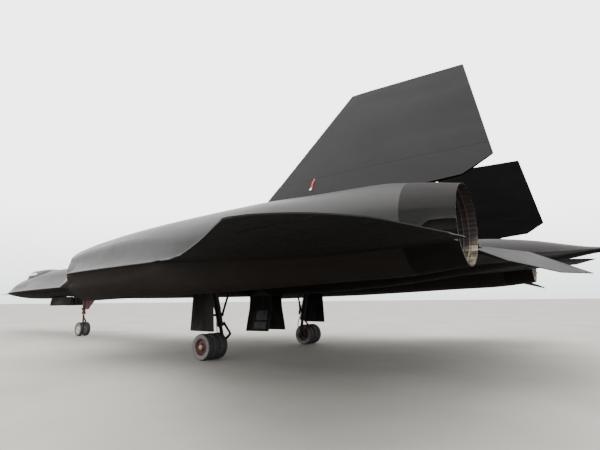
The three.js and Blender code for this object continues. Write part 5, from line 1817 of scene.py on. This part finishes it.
def brace_bar(start, end, radius):
    """A tube with a swollen fork and a pin at each end."""
    length = math.dist(start, end)
    half = [(0, 0.7), (0.01, 1), (0.07, 1), (0.11, 0.78)]
    profile = [(along, radius * share) for along, share in half]
    profile += [(length - along, radius * share) for along, share in half[::-1]]
    return turned(profile, start, np.subtract(end, start), 28)


def main_brace():
    """Two bars, a block that joins them to the leg, and its pin."""
    return [brace_bar((0, 1.99, 1.14), (0, 1.56, 2.26), 0.042),
            brace_bar((0.12, 2.054, 1.18), (0.43, 2.33, 2.22), 0.034),
            block((0.09, 0.15), (1.994, 2.034), (1.06, 1.2), 0.008),
            rod((0.12, 1.98, 1.13), (0.12, 2.08, 1.13), 0.018, 16)]


on_both_sides("main_leg", main_leg(), GEAR_PAINT, from_main_axle)
fitted_both_sides("sliding_tube", "main_leg", sliding_tube(), GEAR_PAINT, from_main_axle)
on_both_sides("main_brace", main_brace(), GEAR_PAINT, from_main_axle)
pipes = brake_pipe(-0.03, 0.007) + brake_pipe(0.01, 0.009)
fitted_both_sides("brake_pipes", "main_leg", pipes, PIPE_STEEL, from_main_axle)
print("main leg", round(LEG_LENGTH, 3), "m from axle to top")

# %% [markdown]
# The nose leg is a slimmer cylinder with a knuckle at its foot. What turns below it is the
# fork: a casting round the axle, a sliding tube and its own scissor links.

# %% Nose leg and fork
KNUCKLE = 1.01


def steering_fork():
    """A casting round the axle, a turned tube above it, and two links."""
    z = NOSE_TYRE["radius"]
    casting = block((-0.07, 0.07), (-0.048, 0.048), (z - 0.075, z + 0.11), 0.016)
    return [casting,
            turned([(0, 0.04), (0.01, 0.048), (0.06, 0.048), (0.07, 0.04), (0.5, 0.04), (0.51, 0.046),
                    (0.612, 0.046), (0.622, 0.04)], (0, 0, z + 0.06), (0, 0, 1), 36),
            *scissor([(-0.04, 0.47), (-0.04, 0.54), (-0.24, 0.72), (-0.24, 0.67)], (-0.03, 0.03),
                     [(-0.225, 0.695), (-0.05, 0.505)]),
            *scissor([(-0.04, 0.88), (-0.04, 0.81), (-0.24, 0.67), (-0.24, 0.72)], (-0.028, 0.028),
                     [(-0.05, 0.845)])]


def nose_leg():
    """The collared cylinder, a cross pin, and a plate behind with two ribs."""
    upper = collared(KNUCKLE, 2.09, 0.068, [(0.005, 0.085, 0.024), (0.26, 0.05, 0.008), (0.6, 0.05, 0.008)])
    return [turned(upper, (0, 0, KNUCKLE), (0, 0, 1), 40),
            rod((0, -0.2, 1.96), (0, 0.2, 1.96), 0.045, 32),
            plate([(-0.06, 1.65), (-0.06, 1.23), (-0.38, 1.23), (-0.9, 1.65)], -0.014, 0.014, 1, 0.003, 0.02),
            plate([(-0.09, 1.62), (-0.09, 1.26), (-0.12, 1.26), (-0.12, 1.62)], -0.022, 0.022, 1, 0.003),
            plate([(-0.4, 1.265), (-0.36, 1.235), (-0.82, 1.628), (-0.87, 1.645)], -0.022, 0.022, 1, 0.003)]


def nose_brace():
    """One bar, a block that joins it to the leg, and its pin."""
    return [brace_bar((0.06, 0, 1.25), (0.3, 0, 2.09), 0.038),
            block((0.074, 0.12), (-0.07, 0.07), (1.21, 1.29), 0.01),
            rod((0.1, -0.078, 1.25), (0.1, 0.078, 1.25), 0.016, 16)]


dress("nose_steering_fork", from_nose_axle(steering_fork()), FORK_PAINT)
dress("nose_gear_leg", from_nose_axle(nose_leg()), FORK_PAINT)
dress("nose_gear_brace", from_nose_axle(nose_brace()), GEAR_PAINT)
nose_pipe = [tube([(0.075, 0.02, z) for z in (2.0, 1.7, 1.4, 1.15)], 0.008)]
fitting("nose_leg_pipe", "nose_gear_leg", from_nose_axle(nose_pipe), PIPE_STEEL)
print("nose gear", len(steering_fork()) + len(nose_leg()), "parts")

# %% [markdown]
# Through the side panes one can look down on the ejection seat, the instrument panel and the
# stick. The seat is a folded metal bucket on two rails. All of it is flat plates with bevelled
# rims and turned bars.

# %% Seat frame, panel and stick
def seat_frame():
    """A folded back, a pan and a head box, two side panels, two rails and the pull handle."""
    back = [(15.23, 0.15), (15.33, 0.15), (15.29, 0.86), (15.23, 0.86)]
    parts = [plate(back, -0.24, 0.24, 1, 0.008, 0.02),
             block((15.35, 15.9), (-0.24, 0.24), (COCKPIT_FLOOR + 0.003, 0.09), 0.01),
             block((15.26, 15.33), (-0.15, 0.15), (0.82, 1.0), 0.012)]
    for y in (-0.24, 0.205):
        parts.append(plate([(15.3, 0.05), (15.9, 0.05), (15.9, 0.16), (15.74, 0.18), (15.45, 0.24),
                            (15.32, 0.6), (15.3, 0.6)], y, y + 0.035, 1, 0.006, 0.03))
    for y in (-0.1, 0.1):
        parts.append(rod((15.245, y, 0.12), (15.245, y, 0.98), 0.014, 16))
    loop = [(15.86, y, z) for y, z in ((-0.07, 0.1), (-0.07, 0.15), (0, 0.168), (0.07, 0.15), (0.07, 0.1))]
    return parts + [tube(loop, 0.008)]


PANEL = [(16.7, 0.25), (16.79, 0.25), (16.96, 0.72), (16.74, 0.72)]
PANEL_WAY = (-1, 0, 0.085)
DIALS = [(y, z, 0.042) for z in (0.36, 0.48) for y in (-0.27, -0.16, -0.05, 0.06, 0.17, 0.28)]
DIALS += [(-0.12, 0.61, 0.055), (0.02, 0.61, 0.055), (0.16, 0.61, 0.045), (-0.25, 0.61, 0.04)]


def panel_face(z):
    """x of the panel's rear face at a height."""
    (foot_x, foot), (top_x, top) = PANEL[0], PANEL[3]
    return foot_x + (top_x - foot_x) * (z - foot) / (top - foot)


def dial_rings():
    """Each dial's bezel: a ring that stands 8 mm proud of the panel's face."""
    return [turned([(0, r), (0.008, r), (0.008, r - 0.006), (0.0, r - 0.008)],
                   (panel_face(z) + 0.002, y, z), PANEL_WAY, 28, True) for y, z, r in DIALS]


def dial_faces():
    """A thin disc inside each ring."""
    return [turned([(0, 0.001), (0, r - 0.007), (0.003, r - 0.007), (0.003, 0.001)],
                   (panel_face(z) + 0.001, y, z), PANEL_WAY, 28) for y, z, r in DIALS]


STICK_X = 16.23


def control_stick():
    """A thin column and a grip whose radius swells for the palm."""
    grip = np.linspace(0, 1, 16)
    swell = 0.024 + 0.008 * np.sin(grip * np.pi) ** 2
    outline = [(0, 0.012), *zip(0.004 + grip * 0.142, swell), (0.15, 0.012)]
    foot, top = (STICK_X, 0, COCKPIT_FLOOR + 0.003), (STICK_X, 0, 0.28)
    return [rod(foot, top, 0.018, 20),
            turned([(0, 0.03), (0.04, 0.03), (0.1, 0.02)], foot, (0, 0, 1), 24),
            turned(outline, (STICK_X, 0, 0.27), (0, 0, 1), 24)]


dress("ejection_seat", settled(seat_frame()), SEAT_PAINT, "seat_frame")
dress("instrument_panel", settled([plate(PANEL, -0.37, 0.37, 1, 0.008, 0.012)]), COCKPIT_BLACK)
fitting("dial_rings", "instrument_panel", settled(dial_rings()), BARE_STEEL)
fitting("dial_faces", "instrument_panel", settled(dial_faces()), DIAL_FACE)
dress("control_stick", settled(control_stick()), COCKPIT_BLACK)
print("panel carries", len(DIALS), "dials")

# %% [markdown]
# Two cushions and a head pad lie on the seat. They are stuffed cloth, so each starts as a
# rounded box, is remeshed finely and blown up a little by Blender's cloth under pressure. The
# sewn channels are pressed in afterwards, because remeshing would fill them.

# %% Cushions
VOXEL = 0.008
PRESSURE = 4.0
CLOTH_FRAMES = 20


def coordinates_of(mesh):
    """A mesh's points as an array."""
    points = np.empty(len(mesh.vertices) * 3)
    mesh.vertices.foreach_get("co", points)
    return points.reshape(-1, 3)


def remeshed(shape, voxel):
    """The same shape in even cells."""
    modifier = shape.modifiers.new("remesh", "REMESH")
    modifier.mode = "VOXEL"
    modifier.voxel_size = voxel
    return applied(shape)


def stuffed(shape, most):
    """Cloth under pressure for twenty frames. No point moves further than `most`, and the swollen
    shape is kept in the mesh, so that no cloth modifier is left."""
    start = coordinates_of(shape.data)
    modifier = shape.modifiers.new("cloth", "CLOTH")
    modifier.settings.use_pressure = True
    modifier.settings.uniform_pressure_force = PRESSURE
    modifier.settings.effector_weights.gravity = 0
    modifier.point_cache.frame_end = CLOTH_FRAMES
    scene = bpy.context.scene
    for step in range(1, CLOTH_FRAMES + 1):
        scene.frame_set(step)
    swollen = coordinates_of(evaluated(shape).data)
    scene.frame_set(1)
    shape.modifiers.clear()
    move = swollen - start
    length = np.maximum(np.linalg.norm(move, axis=1, keepdims=True), 1e-9)
    shape.data.vertices.foreach_set("co", (start + move * np.minimum(1, most / length)).ravel())
    return shape


def seamed(shape, axis, places, normal, depth=0.007, width=0.006):
    """Presses sewn channels in: each point moves along `normal` by a bell curve of its distance."""
    points = coordinates_of(shape.data)
    dip = sum(np.exp(-((points[:, axis] - place) / width) ** 2) for place in places)
    shape.data.vertices.foreach_set("co", (points - dip[:, None] * np.asarray(normal) * depth).ravel())
    shape.data.update()
    return shape


def cushion(name, outline, y, seams, most=0.012):
    """A rounded slab in side view, stuffed, with channels across it."""
    pad = solid_of([plate(outline, *y, 1, 0.02, 0.03)])
    axis, places, normal = seams
    pad = seamed(stuffed(remeshed(pad, VOXEL), most), axis, places, normal)
    fitting(name, "ejection_seat", settled(pad), CUSHION_CLOTH, crease=math.radians(180))
    pad.modifiers.new("smoother", "SUBSURF").levels = 1
    pad.modifiers["smoother"].render_levels = 1
    return pad


PADS = {
    "seat_cushion": ([(15.46, 0.1), (15.86, 0.1), (15.86, 0.145), (15.46, 0.155)], (-0.19, 0.19),
                     (0, (15.56, 15.66, 15.76), (0, 0, 0.5))),
    "back_cushion": ([(15.345, 0.2), (15.38, 0.2), (15.34, 0.78), (15.305, 0.78)], (-0.19, 0.19),
                     (2, (0.33, 0.46, 0.59), (0.5, 0, 0))),
    "head_cushion": ([(15.335, 0.83), (15.385, 0.83), (15.385, 0.985), (15.335, 0.985)], (-0.13, 0.13),
                     (1, (0,), (0.5, 0, 0))),
}
for name, (outline, y, seams) in PADS.items():
    pad = cushion(name, outline, y, seams)
    print(name, len(pad.data.vertices), "points")

# %% [markdown]
# The air-data probe is a turned, tapering needle ahead of the nose, and the short fuel dump mast
# ends the tail.

# %% Probe and dump mast
NEEDLE = [(0, 0.03), (0.001, 0.041), (0.04, 0.042), (0.06, 0.036), (0.65, 0.025), (0.652, 0.022),
          (1.05, 0.012), (1.052, 0.01), (1.19, 0.007), (1.199, 0.004)]
MAST = [(0, 0.02), (0.003, 0.026), (0.09, 0.024), (0.112, 0.019), (0.118, 0.012)]

probe = turned(NEEDLE, (20.4003, 0, 0.005), (1, 0, 0), 40)
vanes = [block((x, x + 0.03), (-0.002, 0.002), (0.02, 0.04), 0.0008) for x in (20.9, 21.02)]
dress("pitot_probe", settled([probe, *vanes]), BARE_STEEL)
mast = turned(MAST, (-9.2503, 0, -0.012), (-1, 0, 0), 32)
dress("fuel_dump_mast", settled([mast]), PIPE_STEEL)
print("probe and mast made")

# %% [markdown]
# A plain pale floor and one soft sky light the aircraft. The sky is brighter overhead than at
# the horizon, as on an overcast day, and one wide lamp high up gives the soft shadow under the
# wing a direction.

# %% Floor and light
HORIZON = (0.5, 0.52, 0.53)
LOW_SKY = (0.72, 0.74, 0.75)
OVERHEAD = (1.0, 1.0, 1.0)
SKY_STRENGTH = 4.2
LAMP_PLACE = Vector((-6.0, 16.0, 34.0))
LAMP_SIZE = 26.0
LAMP_WATTS = 9000.0
FLOOR_REACH = 900.0

floor_mesh = bpy.data.meshes.new("floor")
floor_ring = [(FLOOR_REACH * math.cos(turn), FLOOR_REACH * math.sin(turn), 0) for turn in round_in(120)]
floor_mesh.from_pydata(floor_ring, [], [tuple(range(len(floor_ring)))])
placed("floor", floor_mesh)
concrete = Finish("pale_floor", Roughness=0.9, Specular_IOR_Level=0.1)
floor_mesh.materials.append(concrete.done(
    Base_Color=concrete.ramp(concrete.noise(0.3, 5), (0, (0.23, 0.22, 0.2)), (1, (0.27, 0.26, 0.235)))))

world = bpy.data.worlds.new("sky")
bpy.context.scene.world = world
world.use_nodes = True
tree = world.node_tree
direction = tree.nodes.new("ShaderNodeTexCoord")
height = tree.nodes.new("ShaderNodeSeparateXYZ")
shade = tree.nodes.new("ShaderNodeValToRGB")
tree.links.new(direction.outputs["Generated"], height.inputs[0])
tree.links.new(height.outputs["Z"], shade.inputs[0])
tree.links.new(shade.outputs[0], tree.nodes["Background"].inputs["Color"])
stops = shade.color_ramp.elements
for position, tint in ((0.0, HORIZON), (0.2, LOW_SKY), (1.0, OVERHEAD)):
    stop = stops[0] if position == 0 else stops[1] if position == 1 else stops.new(position)
    stop.color = (*tint, 1)
tree.nodes["Background"].inputs["Strength"].default_value = SKY_STRENGTH

lamp = placed("overcast_lamp", bpy.data.lights.new("overcast_lamp", "AREA"))
lamp.data.shape = "DISK"
lamp.data.size = LAMP_SIZE
lamp.data.energy = LAMP_WATTS
lamp.location = LAMP_PLACE
lamp.rotation_euler = (-LAMP_PLACE).to_track_quat("-Z", "Y").to_euler()
print("lamp", round(LAMP_PLACE.length, 1), "m away")
